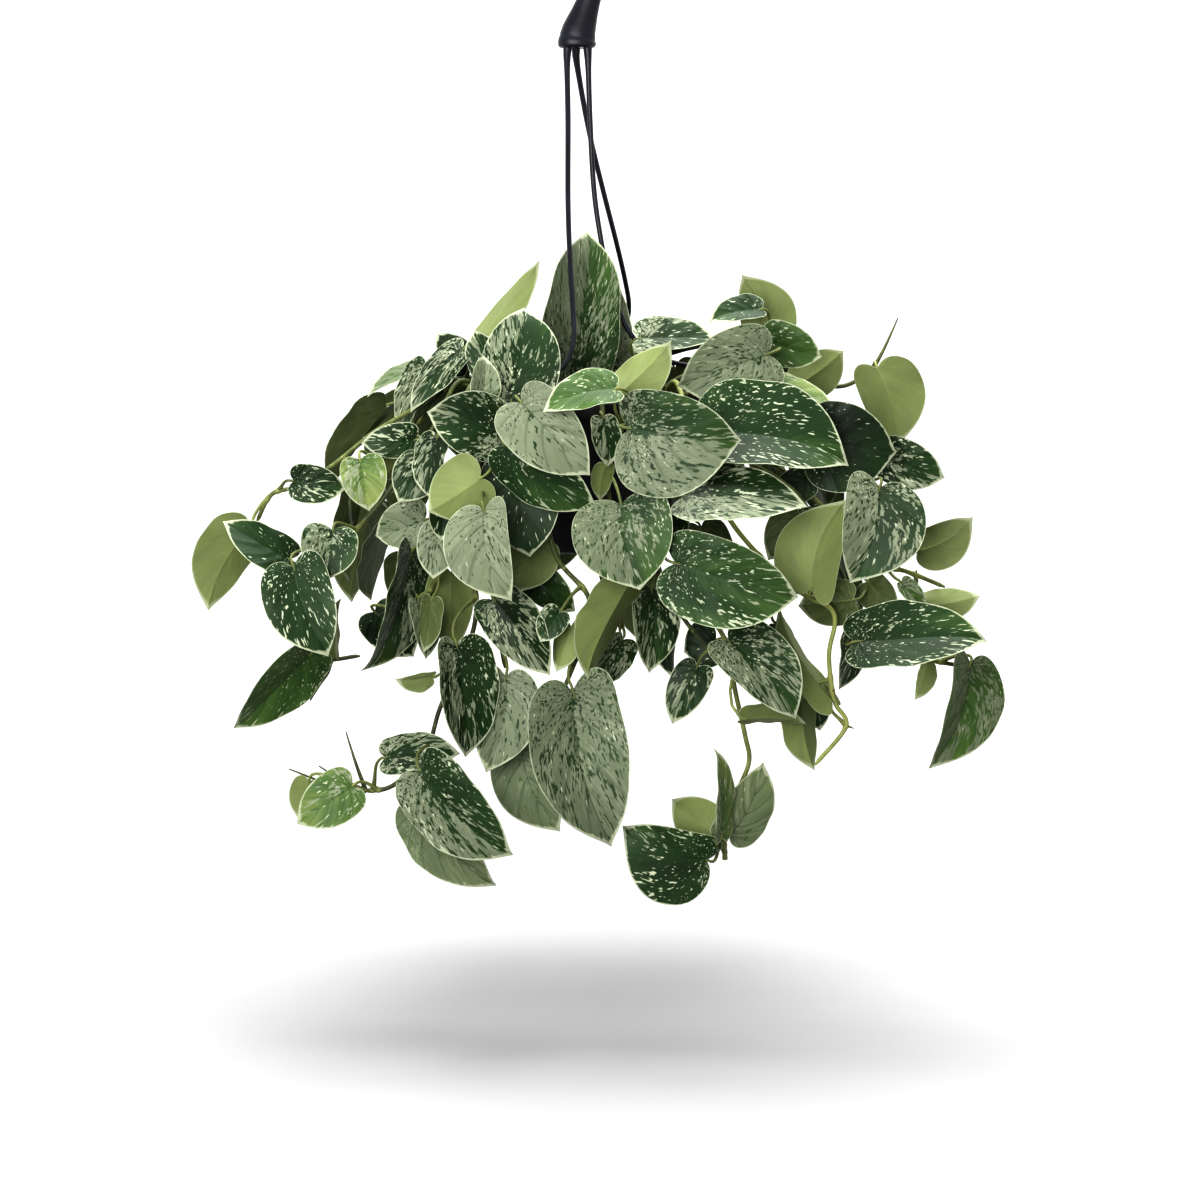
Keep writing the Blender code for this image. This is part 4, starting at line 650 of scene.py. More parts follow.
def seen_leaf(row: tuple, seed: int, look: Look) -> Leaf:
    """Make the leaf that a row of the layout describes.

    Args:
        row: Its row of VINES.
        seed: The seed of its own small differences.
        look: How it is marked.

    Returns:
        The leaf, turned away from the viewer as far as it looks narrow.
    """
    foot_u, foot_v, tip_u, tip_v, width, depth, lean, (face, turn) = row
    foot = at(foot_u, foot_v, depth)
    tip = at(tip_u, tip_v, depth + lean)
    middle = (foot + tip) * 0.5
    toward = (view_eye() - middle).normalized()
    axis = (tip - foot).normalized()
    facing = (toward - axis * toward.dot(axis)).normalized()
    rise = facing.cross(axis)
    if rise.dot(Vector((0.2, 0.0, 1.0))) < 0:
        rise = -rise
    seen = width * UNIT
    full = min(max(seen, BLADE_RATIO * (tip - foot).length), seen / math.cos(TURN_LIMIT))
    angle = turn * math.acos(seen / full)
    normal = (facing * math.cos(angle) + rise * math.sin(angle)) * face
    return Leaf(foot, tip, normal, full, -toward, seed, look)


def seen_vines() -> list[Vine]:
    """Return the vines of the layout."""
    vines = []
    for number, (name, looks, angle, radius, way, rows, shoots) in enumerate(VINES):
        points = [at(u, v, depth) for u, v, depth in way]
        pushes = [(p - view_eye()).normalized() for p in points]
        leaves = [seen_leaf(row, 100 * number + k, Look(looks[k])) for k, row in enumerate(rows)]
        bare = [(at(*a), at(*b)) for a, b in shoots]
        vines.append(Vine(name, angle, radius, points, pushes, leaves, bare))
    return vines


def back_vine(name: str, angle: float, radius: float, drop: float, count: int, seed: int) -> Vine:
    """Return a vine that hangs behind the pot, with alternate leaves along it.

    Args:
        name: The vine's name.
        angle: Where its hole is, in degrees about the pot's axis.
        radius: How far out its hole is, in millimetres.
        drop: How far it hangs below the rim, in millimetres.
        count: Its number of leaves.
        seed: The seed of its draws.

    Returns:
        The vine with its leaves.
    """
    draw = random.Random(seed)
    out = around(1.0, angle, 0.0)
    side = Vector((-out.y, out.x, 0.0))
    reach = BACK_REACH[seed % 2]
    points = []
    for k in range(5):
        share = k / 4
        wander = draw.uniform(-9, 9) * MM * share
        points.append(out * (BACK_RADIUS + reach * math.sin(1.9 * share)) * MM + side * wander
                      + Vector((0, 0, RIM_Z + 4 * MM - drop * MM * share ** 1.3)))
    vine = Vine(name, angle, radius, points, [out] * len(points))
    line = smooth_line(points, span_counts(points, STEM_STEP))
    for k in range(count):
        place = line[round((k + 0.6) / count * (len(line) - 1))]
        hand = 1.0 if k % 2 else -1.0
        length = draw.uniform(46, 68) * MM
        foot = place + side * (hand * draw.uniform(8, 14) * MM) + out * (draw.uniform(14, 24) * MM)
        foot.z += draw.uniform(2, 14) * MM
        aim = out * draw.uniform(0.1, 0.35) + side * (hand * draw.uniform(0.05, 0.32))
        aim.z = -draw.uniform(0.5, 1.1)
        normal = out + Vector((0, 0, draw.uniform(0.3, 0.9))) + side * draw.uniform(-0.3, 0.3)
        width = length * draw.uniform(0.66, 0.76)
        vine.leaves.append(Leaf(foot, foot + aim.normalized() * length, normal, width, out, 100 * seed + k))
    return vine


def crown_vine(name: str, angle: float, radius: float, seed: int) -> Vine:
    """Return the short vine whose leaves stand over the soil behind the middle of the pot.

    Args:
        name: The vine's name.
        angle: Where its hole is, in degrees about the pot's axis.
        radius: How far out its hole is, in millimetres.
        seed: The seed of its draws.

    Returns:
        The vine with its leaves.
    """
    draw = random.Random(seed)
    start = around(radius * MM, angle, RIM_Z + 10 * MM)
    points = [start + Vector((-4 * MM, 10 * MM, 12 * MM)), start + Vector((6 * MM, 22 * MM, 26 * MM))]
    vine = Vine(name, angle, radius, points, [Vector((0, 1, 0))] * 2)
    for k, turn in enumerate(CROWN_TURNS):
        out = around(1.0, turn + draw.uniform(-5, 5), 0.0)
        foot = start + out * (draw.uniform(20, 34) * MM) + Vector((0, 0, draw.uniform(8, 22) * MM))
        length = draw.uniform(48, 66) * MM
        aim = out * draw.uniform(0.6, 0.9) + Vector((0, 0, draw.uniform(0.0, 0.3)))
        normal = Vector((0, 0, 1.0)) - out * draw.uniform(0.1, 0.5)
        tip = foot + aim.normalized() * length
        vine.leaves.append(Leaf(foot, tip, normal, 0.68 * length, out, 100 * seed + k))
    return vine


def hidden_vines() -> list[Vine]:
    """Return the vines that the layout's view doesn't show, with their leaves' looks drawn."""
    vines = [back_vine(*row) for row in BACK_VINES]
    vines.append(crown_vine(*CROWN_BACK))
    draw = random.Random(BACK_LOOK_SEED)
    for vine in vines:
        for leaf in vine.leaves:
            leaf.look = Look(draw.choice(BACK_LOOKS))
    return vines


Colour = tuple[float, float, float, float]


def srgb(*levels: int) -> Colour:
    """Return a colour given as red, green and blue from 0 to 255 as the linear one that a shader takes."""
    shares = [level / 255 for level in levels]
    red, green, blue = [c / 12.92 if c <= 0.04045 else ((c + 0.055) / 1.055) ** 2.4 for c in shares]
    return red, green, blue, 1.0


class Value:
    """A number socket of a material, on which arithmetic adds the Math nodes."""

    def __init__(self, paint: "Paint", socket: bpy.types.NodeSocket) -> None:
        """Wrap a socket of a paint's nodes."""
        self.paint = paint
        self.socket = socket

    def math(self, operation: str, *others: "Value | float", first: float | None = None,
             clamp: bool = False) -> "Value":
        """Add one Math node.

        Args:
            operation: The node's operation.
            others: Its second and third operands.
            first: A number that takes the first place, with this value second.
            clamp: Whether the result is kept between 0 and 1.

        Returns:
            The result.
        """
        operands = [self, *others] if first is None else [first, self]
        node = self.paint.node("ShaderNodeMath", {"operation": operation, "use_clamp": clamp},
                               dict(enumerate(operands)))
        return Value(self.paint, node.outputs[0])

    def __add__(self, other: "Value | float") -> "Value":
        """Return the sum."""
        return self.math("ADD", other)

    def __radd__(self, other: float) -> "Value":
        """Return the sum with a number in front."""
        return self.math("ADD", first=other)

    def __sub__(self, other: "Value | float") -> "Value":
        """Return the difference."""
        return self.math("SUBTRACT", other)

    def __rsub__(self, other: float) -> "Value":
        """Return a number less this value."""
        return self.math("SUBTRACT", first=other)

    def __mul__(self, other: "Value | float") -> "Value":
        """Return the product."""
        return self.math("MULTIPLY", other)

    def __rmul__(self, other: float) -> "Value":
        """Return the product with a number in front."""
        return self.math("MULTIPLY", first=other)

    def __pow__(self, other: float) -> "Value":
        """Return a power."""
        return self.math("POWER", other)

    def __abs__(self) -> "Value":
        """Return the size without the sign."""
        return self.math("ABSOLUTE")

    def cosine(self) -> "Value":
        """Return the cosine."""
        return self.math("COSINE")

    def above(self, threshold: "Value | float", width: float) -> "Value":
        """Return 0 below a threshold and 1 above it, with a soft step so wide."""
        return ((self - threshold) * (1.0 / width) + 0.5).clamped()

    def clamped(self) -> "Value":
        """Return the value kept between 0 and 1."""
        return self.math("ADD", 0.0, clamp=True)


class Paint:
    """One procedural material under construction."""

    def __init__(self, name: str, roughness: float, specular: float = 0.3) -> None:
        """Start a material whose shader has the given constants."""
        self.material = bpy.data.materials.new(name)
        self.material.use_nodes = True
        self.tree = self.material.node_tree
        self.shader = self.tree.nodes["Principled BSDF"]
        self.shader.inputs["Roughness"].default_value = roughness
        self.shader.inputs["Specular IOR Level"].default_value = specular

    def node(self, kind: str, settings: dict[str, object] | None = None,
             inputs: dict[int | str, object] | None = None) -> bpy.types.Node:
        """Add one node.

        Args:
            kind: The node's type.
            settings: Its own settings, set first; "stops" gives a ramp's positions and colours.
            inputs: The values or links of its sockets, by name or number.

        Returns:
            The node.
        """
        node = self.tree.nodes.new(kind)
        for name, setting in (settings or {}).items():
            if name == "stops":
                self.set_stops(node.color_ramp, setting)
            else:
                setattr(node, name, setting)
        for key, given in (inputs or {}).items():
            self.feed(node.inputs[key], given)
        return node

    def feed(self, socket: bpy.types.NodeSocket, given: object) -> None:
        """Link a socket to a value or another socket, or set it to a number or colour.

        Args:
            socket: The socket.
            given: What it gets.
        """
        if isinstance(given, Value):
            given = given.socket
        if isinstance(given, bpy.types.NodeSocket):
            self.tree.links.new(given, socket)
        else:
            socket.default_value = given

    @staticmethod
    def set_stops(ramp: bpy.types.ColorRamp, stops: Sequence[tuple[float, Colour]]) -> None:
        """Give a ramp its stops."""
        while len(ramp.elements) < len(stops):
            ramp.elements.new(1.0)
        for element, (position, colour) in zip(ramp.elements, stops):
            element.position = position
            element.color = colour

    def attribute(self, name: str) -> bpy.types.NodeSocket:
        """Return the vector of one of the piece's attributes."""
        return self.node("ShaderNodeAttribute", {"attribute_name": name}).outputs["Vector"]

    def place(self) -> bpy.types.NodeSocket:
        """Return the place on the object."""
        return self.node("ShaderNodeTexCoord").outputs["Object"]

    def parts(self, vector: bpy.types.NodeSocket) -> list[Value]:
        """Return a vector's three numbers."""
        return [Value(self, s) for s in self.node("ShaderNodeSeparateXYZ", inputs={0: vector}).outputs]

    def vector(self, operation: str, first: object, second: object) -> bpy.types.NodeSocket:
        """Return one Vector Math operation on two vectors."""
        return self.node("ShaderNodeVectorMath", {"operation": operation}, {0: first, 1: second}).outputs[0]

    def noise(self, vector: bpy.types.NodeSocket, scale: float, detail: float = 2.0,
              roughness: float = 0.5) -> Value:
        """Return a noise whose features are 1 / scale metres wide."""
        inputs = {"Vector": vector, "Scale": scale, "Detail": detail, "Roughness": roughness}
        return Value(self, self.node("ShaderNodeTexNoise", inputs=inputs).outputs[0])

    def wander(self, vector: bpy.types.NodeSocket, scale: float, reach: float) -> bpy.types.NodeSocket:
        """Return a vector moved about by a noise as far as the reach."""
        cloud = self.node("ShaderNodeTexNoise", inputs={"Vector": vector, "Scale": scale}).outputs["Color"]
        centred = self.vector("SUBTRACT", cloud, (0.5, 0.5, 0.5))
        return self.vector("ADD", vector, self.vector("MULTIPLY", centred, (2 * reach,) * 3))

    def mix(self, share: Value | float, first: object, second: object) -> bpy.types.NodeSocket:
        """Return the mix of two colours, all the second at a share of 1."""
        node = self.node("ShaderNodeMix", {"data_type": "RGBA"}, {0: share, 6: first, 7: second})
        return node.outputs[2]

    def ramp(self, share: Value, stops: Sequence[tuple[float, Colour]]) -> bpy.types.NodeSocket:
        """Return the colour of a ramp at a share."""
        return self.node("ShaderNodeValToRGB", {"stops": stops}, {0: share}).outputs[0]

    def bump(self, height: Value, distance: float, strength: float) -> None:
        """Raise the surface by a height from 0 to 1 over a distance in metres."""
        inputs = {"Strength": strength, "Distance": distance, "Height": height}
        self.feed(self.shader.inputs["Normal"], self.node("ShaderNodeBump", inputs=inputs).outputs[0])

    def done(self, colour: object, roughness: Value | None = None) -> bpy.types.Material:
        """Feed the shader its colour and any varying roughness, and return the material."""
        self.feed(self.shader.inputs["Base Color"], colour)
        if roughness is not None:
            self.feed(self.shader.inputs["Roughness"], roughness)
        return self.material


@dataclass(frozen=True)
class BladeFinish:
    """The satin finish of the blades, on both faces and at the rim.

    Args:
        vein_count: How many side veins a half blade has.
        margin: How wide the cream margin is, in metres.
        roughness: How dull the satin face is.
    """

    vein_count: float = 8.0
    margin: float = 0.36 * MM
    roughness: float = 0.42
    darkest: Colour = srgb(15, 25, 14)
    middle: Colour = srgb(40, 62, 33)
    light: Colour = srgb(82, 108, 58)
    lime: Colour = srgb(144, 157, 94)
    silver: Colour = srgb(116, 126, 102)
    pale_silver: Colour = srgb(160, 165, 142)
    fleck: Colour = srgb(162, 174, 146)
    cream: Colour = srgb(196, 202, 174)
    dark_back: Colour = srgb(42, 58, 32)
    olive_back: Colour = srgb(117, 127, 83)
    lime_back: Colour = srgb(147, 159, 102)
    grey_back: Colour = srgb(126, 134, 102)

    def veins(self, station: Value, sharpness: float) -> Value:
        """Return a mask that is 1 on the side veins and 0 between them."""
        return abs((station * (math.pi * self.vein_count)).cosine()) ** sharpness

    def top(self) -> bpy.types.Material:
        """Return the upper face: green under silver blotches, cream flecks and a pale margin."""
        paint = Paint("leaf_top", self.roughness, specular=0.18)
        vein = paint.attribute("vein")
        station, side, rim = paint.parts(paint.attribute("form"))
        silver, spots, tone = paint.parts(paint.attribute("look"))
        split, specks, cream = paint.parts(paint.attribute("cast"))
        flow = paint.vector("MULTIPLY", vein, (1.0, 1.1, 1.0))
        ragged = paint.wander(flow, 900.0, 0.5 * MM)
        reach = abs(side)
        streak = paint.noise(paint.vector("MULTIPLY", vein, (1.0, 0.12, 1.0)), 900.0, 1.0)

        # Silver: wide clouds broken up by small blocky ones, more in one half where the leaf is split.
        cloud = paint.noise(flow, 75.0, 2.0)
        block = paint.noise(ragged, 400.0, 1.0)
        half_side = (side * 5.0).math("MINIMUM", 1.0).math("MAXIMUM", -1.0)
        level = cloud * 0.52 + block * 0.48 + (streak - 0.5) * 0.14 + split * half_side * 0.12
        level = level - (0.22 - reach).math("MAXIMUM", 0.0) * 0.30
        shine = level.above(0.68 - silver * 0.36, 0.018)
        dots = (paint.noise(ragged, 620.0, 1.0) + (cloud - 0.5) * 0.5).above(0.72 - specks * 0.13, 0.03)
        shine = shine * (1.0 - dots * 0.92)

        # Cream flecks: small blocky patches in loose clusters, and finer dots.
        cluster = paint.noise(flow, 60.0, 1.0)
        patch = paint.noise(ragged, 480.0, 1.0) + (cluster - 0.5) * 0.42 + (reach - 0.5) * 0.06
        fleck = patch.above(0.80 - spots * 0.19, 0.02)
        cells = paint.node("ShaderNodeTexVoronoi", inputs={"Vector": ragged, "Scale": 760.0})
        size, chance, _ = paint.parts(cells.outputs["Color"])
        near = Value(paint, cells.outputs["Distance"])
        dot = (0.12 + size * size * 0.30).math("SUBTRACT", near).above(0.0, 0.10)
        fleck = fleck.math("MAXIMUM", dot * (spots * 0.34 - chance).above(0.0, 0.02))

        wide = paint.noise(flow, 46.0, 2.0)
        tint = tone + (wide - 0.5) * 0.6 + reach ** 3.0 * 0.10 + station ** 5.0 * 0.18
        tint = tint + (streak - 0.5) * 0.22
        green = paint.ramp(tint.clamped(), ((0.0, self.darkest), (0.36, self.middle), (0.70, self.light),
                                            (1.0, self.lime)))
        pale = ((cloud - 0.45) * 2.0 + (streak - 0.5) * 1.3 + (block - 0.5)).clamped()
        sheen = paint.mix(pale, self.silver, self.pale_silver)
        sheen = paint.mix(cream * (0.5 + wide * 0.6), sheen, self.cream)
        sheen = paint.mix(tone * 0.35, sheen, green)
        colour = paint.mix(shine * 0.94, green, sheen)
        colour = paint.mix(fleck, colour, paint.mix(size, self.fleck, self.cream))
        lines = self.veins(station, 30.0) * (1.0 - reach * 0.6)
        colour = paint.mix(lines * 0.5, colour, self.middle)
        rib = (1.0 - reach.above(0.020, 0.025)) * (1.0 - station * 0.4)
        colour = paint.mix(rib * 0.8, colour, self.middle)
        edge = 1.0 - rim.above(paint.noise(flow, 300.0, 1.0) * (2.0 * self.margin), 0.22 * MM)
        colour = paint.mix(edge * 0.8, colour, self.cream)

        quilt = self.veins(station, 1.4)
        grain = paint.noise(vein, 1500.0, 2.0)
        paint.bump((1.0 - quilt) * 0.5 + grain * 0.2 + streak * 0.3 + shine * 0.06, 0.5 * MM, 0.85)
        return paint.done(colour, 0.40 + shine * 0.10 + grain * 0.10)

    def under(self) -> bpy.types.Material:
        """Return the lower face: olive to lime, with a raised pale midrib."""
        paint = Paint("leaf_under", self.roughness, specular=0.15)
        vein = paint.attribute("vein")
        station, side, rim = paint.parts(paint.attribute("form"))
        _, _, tone = paint.parts(paint.attribute("look"))
        flow = paint.vector("MULTIPLY", vein, (1.0, 1.1, 1.0))
        streak = paint.noise(paint.vector("MULTIPLY", vein, (1.0, 0.10, 1.0)), 700.0, 1.0)
        blotch = paint.noise(flow, 90.0, 3.0, 0.6)
        tint = (tone + (blotch - 0.5) * 0.40 + (streak - 0.5) * 0.10).clamped()
        colour = paint.ramp(tint, ((0.0, self.dark_back), (0.55, self.olive_back), (1.0, self.lime_back)))
        colour = paint.mix(paint.noise(flow, 230.0, 2.0).above(0.56, 0.14) * 0.25, colour, self.grey_back)
        lines = self.veins(station, 26.0) * (1.0 - abs(side) * 0.5)
        colour = paint.mix(lines * 0.12, colour, self.lime_back)
        rib = (1.0 - abs(side).above(0.022, 0.03)) * (1.0 - station * 0.5)
        colour = paint.mix(rib * 0.5, colour, self.lime_back)
        edge = 1.0 - rim.above(self.margin, 0.22 * MM)
        colour = paint.mix(edge * 0.5, colour, self.cream)
        grain = paint.noise(vein, 1300.0, 2.0)
        paint.bump(lines * 0.15 + grain * 0.2 + streak * 0.15 + rib * 0.5, 0.5 * MM, 0.7)
        return paint.done(colour, 0.48 + grain * 0.12)

    def rim(self) -> bpy.types.Material:
        """Return the thin edge of the blades."""
        paint = Paint("leaf_rim", self.roughness)
        cloud = paint.noise(paint.attribute("vein"), 240.0, 2.0)
        return paint.done(paint.mix(cloud.above(0.5, 0.3), self.light, self.cream))


@dataclass(frozen=True)
class StemFinish:
    """The finish of stems, petioles and aerial roots."""

    dark: Colour = srgb(40, 46, 30)
    olive: Colour = srgb(96, 104, 60)
    node: Colour = srgb(156, 162, 98)
    root: Colour = srgb(108, 88, 58)

    def stem(self) -> bpy.types.Material:
        """Return the skin of stems and petioles, with pale rings at the nodes."""
        paint = Paint("stem_skin", 0.5)
        _, ring, _ = paint.parts(paint.attribute("form"))
        _, _, tone = paint.parts(paint.attribute("look"))
        place = paint.place()
        cloud = paint.noise(place, 130.0, 3.0)
        streak = paint.noise(paint.vector("MULTIPLY", place, (1.0, 1.0, 0.25)), 900.0, 1.0)
        share = (tone + (cloud - 0.5) * 0.6 + (streak - 0.5) * 0.3).clamped()
        colour = paint.ramp(share, ((0.0, self.dark), (0.6, self.olive), (1.0, self.node)))
        colour = paint.mix((ring * 0.7).clamped(), colour, self.node)
        freckle = streak.above(0.66, 0.06) * cloud.above(0.5, 0.1)
        colour = paint.mix(freckle * 0.5, colour, self.node)
        paint.bump(streak * 0.6 + cloud * 0.4, 0.3 * MM, 0.6)
        return paint.done(colour, 0.42 + cloud * 0.2)

    def roots(self) -> bpy.types.Material:
        """Return the skin of the short aerial roots."""
        paint = Paint("aerial_root", 0.75)
        cloud = paint.noise(paint.place(), 700.0, 3.0)
        paint.bump(cloud, 0.3 * MM, 0.7)
        return paint.done(paint.mix(cloud.above(0.5, 0.4), self.root, self.olive))


@dataclass(frozen=True)
class PlasticFinish:
    """A moulded plastic finish.

    Args:
        name: The material's name.
        colour: Its colour.
        worn: The colour of its lighter cloudy patches.
        dust: The colour of dust on faces that look up.
        roughness: How dull it is.
        grain: The width of its moulded grain, in metres.
    """

    name: str
    colour: Colour
    worn: Colour
    dust: Colour
    roughness: float
    grain: float

    def make(self) -> bpy.types.Material:
        """Return the material: fine grain, faint clouding and a little dust on faces that look up."""
        paint = Paint(self.name, self.roughness)
        place = paint.place()
        cloud = paint.noise(place, 28.0, 4.0, 0.6)
        grain = paint.noise(place, 1.0 / self.grain, 2.0)
        up = paint.parts(paint.node("ShaderNodeNewGeometry").outputs["Normal"])[2]
        settled = up.above(0.75, 0.5) * paint.noise(place, 160.0, 3.0, 0.7).above(0.48, 0.25)
        colour = paint.mix(cloud.above(0.52, 0.3) * 0.6, self.colour, self.worn)
        colour = paint.mix(settled * 0.35, colour, self.dust)
        paint.bump(grain, 0.12 * MM, 0.5)
        return paint.done(colour, self.roughness + (cloud - 0.5) * 0.25 + settled * 0.2)


@dataclass(frozen=True)
class SoilFinish:
    """The finishes of the potting soil and of what lies in it."""

    peat: Colour = srgb(38, 27, 20)
    damp: Colour = srgb(22, 16, 12)
    crumb: Colour = srgb(70, 50, 35)
    bark: Colour = srgb(96, 64, 40)
    bark_dark: Colour = srgb(52, 34, 24)
    perlite: Colour = srgb(206, 202, 192)
    perlite_dirt: Colour = srgb(150, 138, 120)

    def mixed(self, name: str, low: Colour, high: Colour, scale: float, bump: float) -> bpy.types.Material:
        """Return a rough mix of two colours.

        Args:
            name: The material's name.
            low: The colour of the hollows.
            high: The colour of the rest.
            scale: How fine the mix is, as features to a metre.
            bump: How deep its bump is.

        Returns:
            The material.
        """
        paint = Paint(name, 0.92, specular=0.25)
        place = paint.place()
        cloud = paint.noise(place, scale, 4.0, 0.7)
        fine = paint.noise(place, 5.0 * scale, 3.0, 0.7)
        colour = paint.mix((cloud + (fine - 0.5) * 0.8).above(0.5, 0.3), low, high)
        paint.bump(fine * 0.6 + cloud * 0.4, bump, 0.9)
        return paint.done(colour, 0.82 + fine * 0.2)

    def all(self) -> list[bpy.types.Material]:
        """Return the ground, the crumbs, the bark and the perlite."""
        return [self.mixed("soil_ground", self.damp, self.peat, 240.0, 1.2 * MM),
                self.mixed("soil_crumb", self.peat, self.crumb, 380.0, 0.6 * MM),
                self.mixed("soil_bark", self.bark_dark, self.bark, 300.0, 0.5 * MM),
                self.mixed("soil_perlite", self.perlite_dirt, self.perlite, 420.0, 0.4 * MM)]


@dataclass(frozen=True)
class FloorFinish:
    """The plain pale floor, which turns to an evenly bright backdrop away from the part.

    Args:
        near: How far from the middle the backdrop begins, in metres.
        fade: Over what distance it takes over.
        glow: The backdrop's least share, which keeps the shadow light.
    """

    near: float = 0.45
    fade: float = 0.75
    glow: float = 0.05
    pale: Colour = srgb(193, 193, 193)
    shade: Colour = srgb(190, 190, 190)
    bright: Colour = srgb(253, 253, 253)
    black: Colour = (0.0, 0.0, 0.0, 1.0)

    def make(self) -> bpy.types.Material:
        """Return the floor's matte paint."""
        paint = Paint("floor_paint", 0.9, specular=0.1)
        place = paint.place()
        flat = paint.vector("MULTIPLY", place, (1.0, 1.0, 0.0))
        length = paint.node("ShaderNodeVectorMath", {"operation": "LENGTH"}, {0: flat})
        far = Value(paint, length.outputs["Value"])
        share = far.above(self.near + 0.5 * self.fade, self.fade)
        share = share * share * (3.0 - share * 2.0) * (1.0 - self.glow) + self.glow
        paint.feed(paint.shader.inputs["Emission Color"], paint.mix(share, self.black, self.bright))
        paint.shader.inputs["Emission Strength"].default_value = 1.0
        paint.material.cycles.emission_sampling = "NONE"
        cloud = paint.noise(place, 0.7, 2.0)
        return paint.done(paint.mix(share, paint.mix(cloud, self.pale, self.shade), self.black))


@dataclass
class Mould:
    """A mesh whose corners each carry a mark, stamped over and over with its marks led to real places."""

    mesh: bpy.types.Mesh
    marks: list[tuple[float, ...]]

    def stamp(self, body: bmesh.types.BMesh, places: Iterable[Vector], layers: "Layers",
              notes: Iterable[Sequence[Vector]]) -> None:
        """Add one copy to a body.

        Args:
            body: The body that the copy joins.
            places: Where each marked corner goes.
            layers: The body's attributes.
            notes: What each corner's attributes say, in the order of the layers.
        """
        count = len(body.verts)
        body.from_mesh(self.mesh)
        body.verts.ensure_lookup_table()
        for corner, place, note in zip(body.verts[count:], places, notes):
            corner.co = place
            layers.write(corner, note)


@dataclass
class Layers:
    """The attributes that the plant's materials read."""

    body: bmesh.types.BMesh
    names: tuple[str, ...] = ("vein", "form", "look", "cast")

    def __post_init__(self) -> None:
        """Add the attributes to the body."""
        self.layers = [self.body.verts.layers.float_vector.new(name) for name in self.names]

    def write(self, corner: bmesh.types.BMVert, note: Sequence[Vector]) -> None:
        """Set a corner's attributes."""
        for layer, said in zip(self.layers, note):
            corner[layer] = said


def mesh_of(name: str, body: bmesh.types.BMesh) -> bpy.types.Mesh:
    """Return the mesh of a body, which is freed."""
    mesh = bpy.data.meshes.new(name)
    body.to_mesh(mesh)
    body.free()
    return mesh


def smooth(body: bmesh.types.BMesh) -> None:
    """Shade all faces of a body smooth."""
    for face in body.faces:
        face.smooth = True


def cover_faces(body: bmesh.types.BMesh, first: int, cover: Cover) -> None:
    """Give the faces of a body, from a number on, one of the stem's materials."""
    body.faces.ensure_lookup_table()
    for face in body.faces[first:]:
        face.material_index = cover


def edge_at(station: float) -> tuple[float, float, float]:
    """Read the fine blade's outline.

    Args:
        station: The share of the way round the half outline, from foot 0 to tip 1.

    Returns:
        Along, across, and where the vein to that point leaves the midrib.
    """
    spot = station * (len(FINE_EDGE) - 1)
    i = min(int(spot), len(FINE_EDGE) - 2)
    rows = [Vector(FINE_EDGE[max(0, min(len(FINE_EDGE) - 1, i + k))]) for k in (-1, 0, 1, 2)]
    point = spline(*rows, spot - i)
    return point.x, max(point.y, 0.0), point.z


def blade_mould(stations: int, columns: int, crowd: float = 1.4, sweep_back: float = 1.45) -> Mould:
    """Make the fine blade's mould: a grid drawn in to a heart, with two faces and a rim.

    Args:
        stations: The steps from foot to tip.
        columns: The steps from one edge to the other.
        crowd: How far the columns crowd to the midrib, as a power.
        sweep_back: How late the veins bend back to the outline, as a power.

    Returns:
        The mould, whose marks are along, across, face (1 above, -1 below), station and side.
    """
    body = bmesh.new()
    bmesh.ops.create_grid(body, x_segments=stations, y_segments=columns, size=1.0)
    station_of = body.verts.layers.float_vector.new("station")
    for corner in body.verts:
        station, side = 0.5 * (corner.co.x + 1.0), corner.co.y
        side = math.copysign(abs(side) ** crowd, side)
        along, across, root = edge_at(station)
        corner[station_of] = Vector((station, side, 0.0))
        corner.co = Vector((root + (along - root) * abs(side) ** sweep_back, across * side, 0.0))
    bmesh.ops.remove_doubles(body, verts=body.verts, dist=1e-5)
    lower = set(body.verts)
    bmesh.ops.extrude_face_region(body, geom=[*body.verts, *body.edges, *body.faces])
    for corner in body.verts:
        corner.co.z = -1.0 if corner in lower else 1.0
    smooth(body)
    for face in body.faces:
        heights = {round(corner.co.z) for corner in face.verts}
        face.material_index = Cover.TOP if heights == {1} else Cover.UNDER if heights == {-1} else Cover.RIM
    for edge in body.edges:
        edge.smooth = len({face.material_index for face in edge.link_faces}) == 1
    marks = [(*corner.co, *corner[station_of][:2]) for corner in body.verts]
    body.verts.layers.float_vector.remove(station_of)
    return Mould(mesh_of("blade_mould", body), marks)


@cache
def tube_mould(steps: int, sides: int) -> Mould:
    """Make the mould of a closed tube, whose marks are the step along and the place round it."""
    body = bmesh.new()
    bmesh.ops.create_cone(body, cap_ends=True, segments=sides, radius1=1.0, radius2=1.0, depth=float(steps))
    if steps > 1:
        upright = [e for e in body.edges if abs(e.verts[0].co.z - e.verts[1].co.z) > 0.5]
        bmesh.ops.subdivide_edges(body, edges=upright, cuts=steps - 1)
    smooth(body)
    for edge in body.edges:
        edge.smooth = not any(len(face.verts) > 4 for face in edge.link_faces)
    marks = [(round(corner.co.z + 0.5 * steps), corner.co.x, corner.co.y) for corner in body.verts]
    return Mould(mesh_of("tube_mould", body), marks)


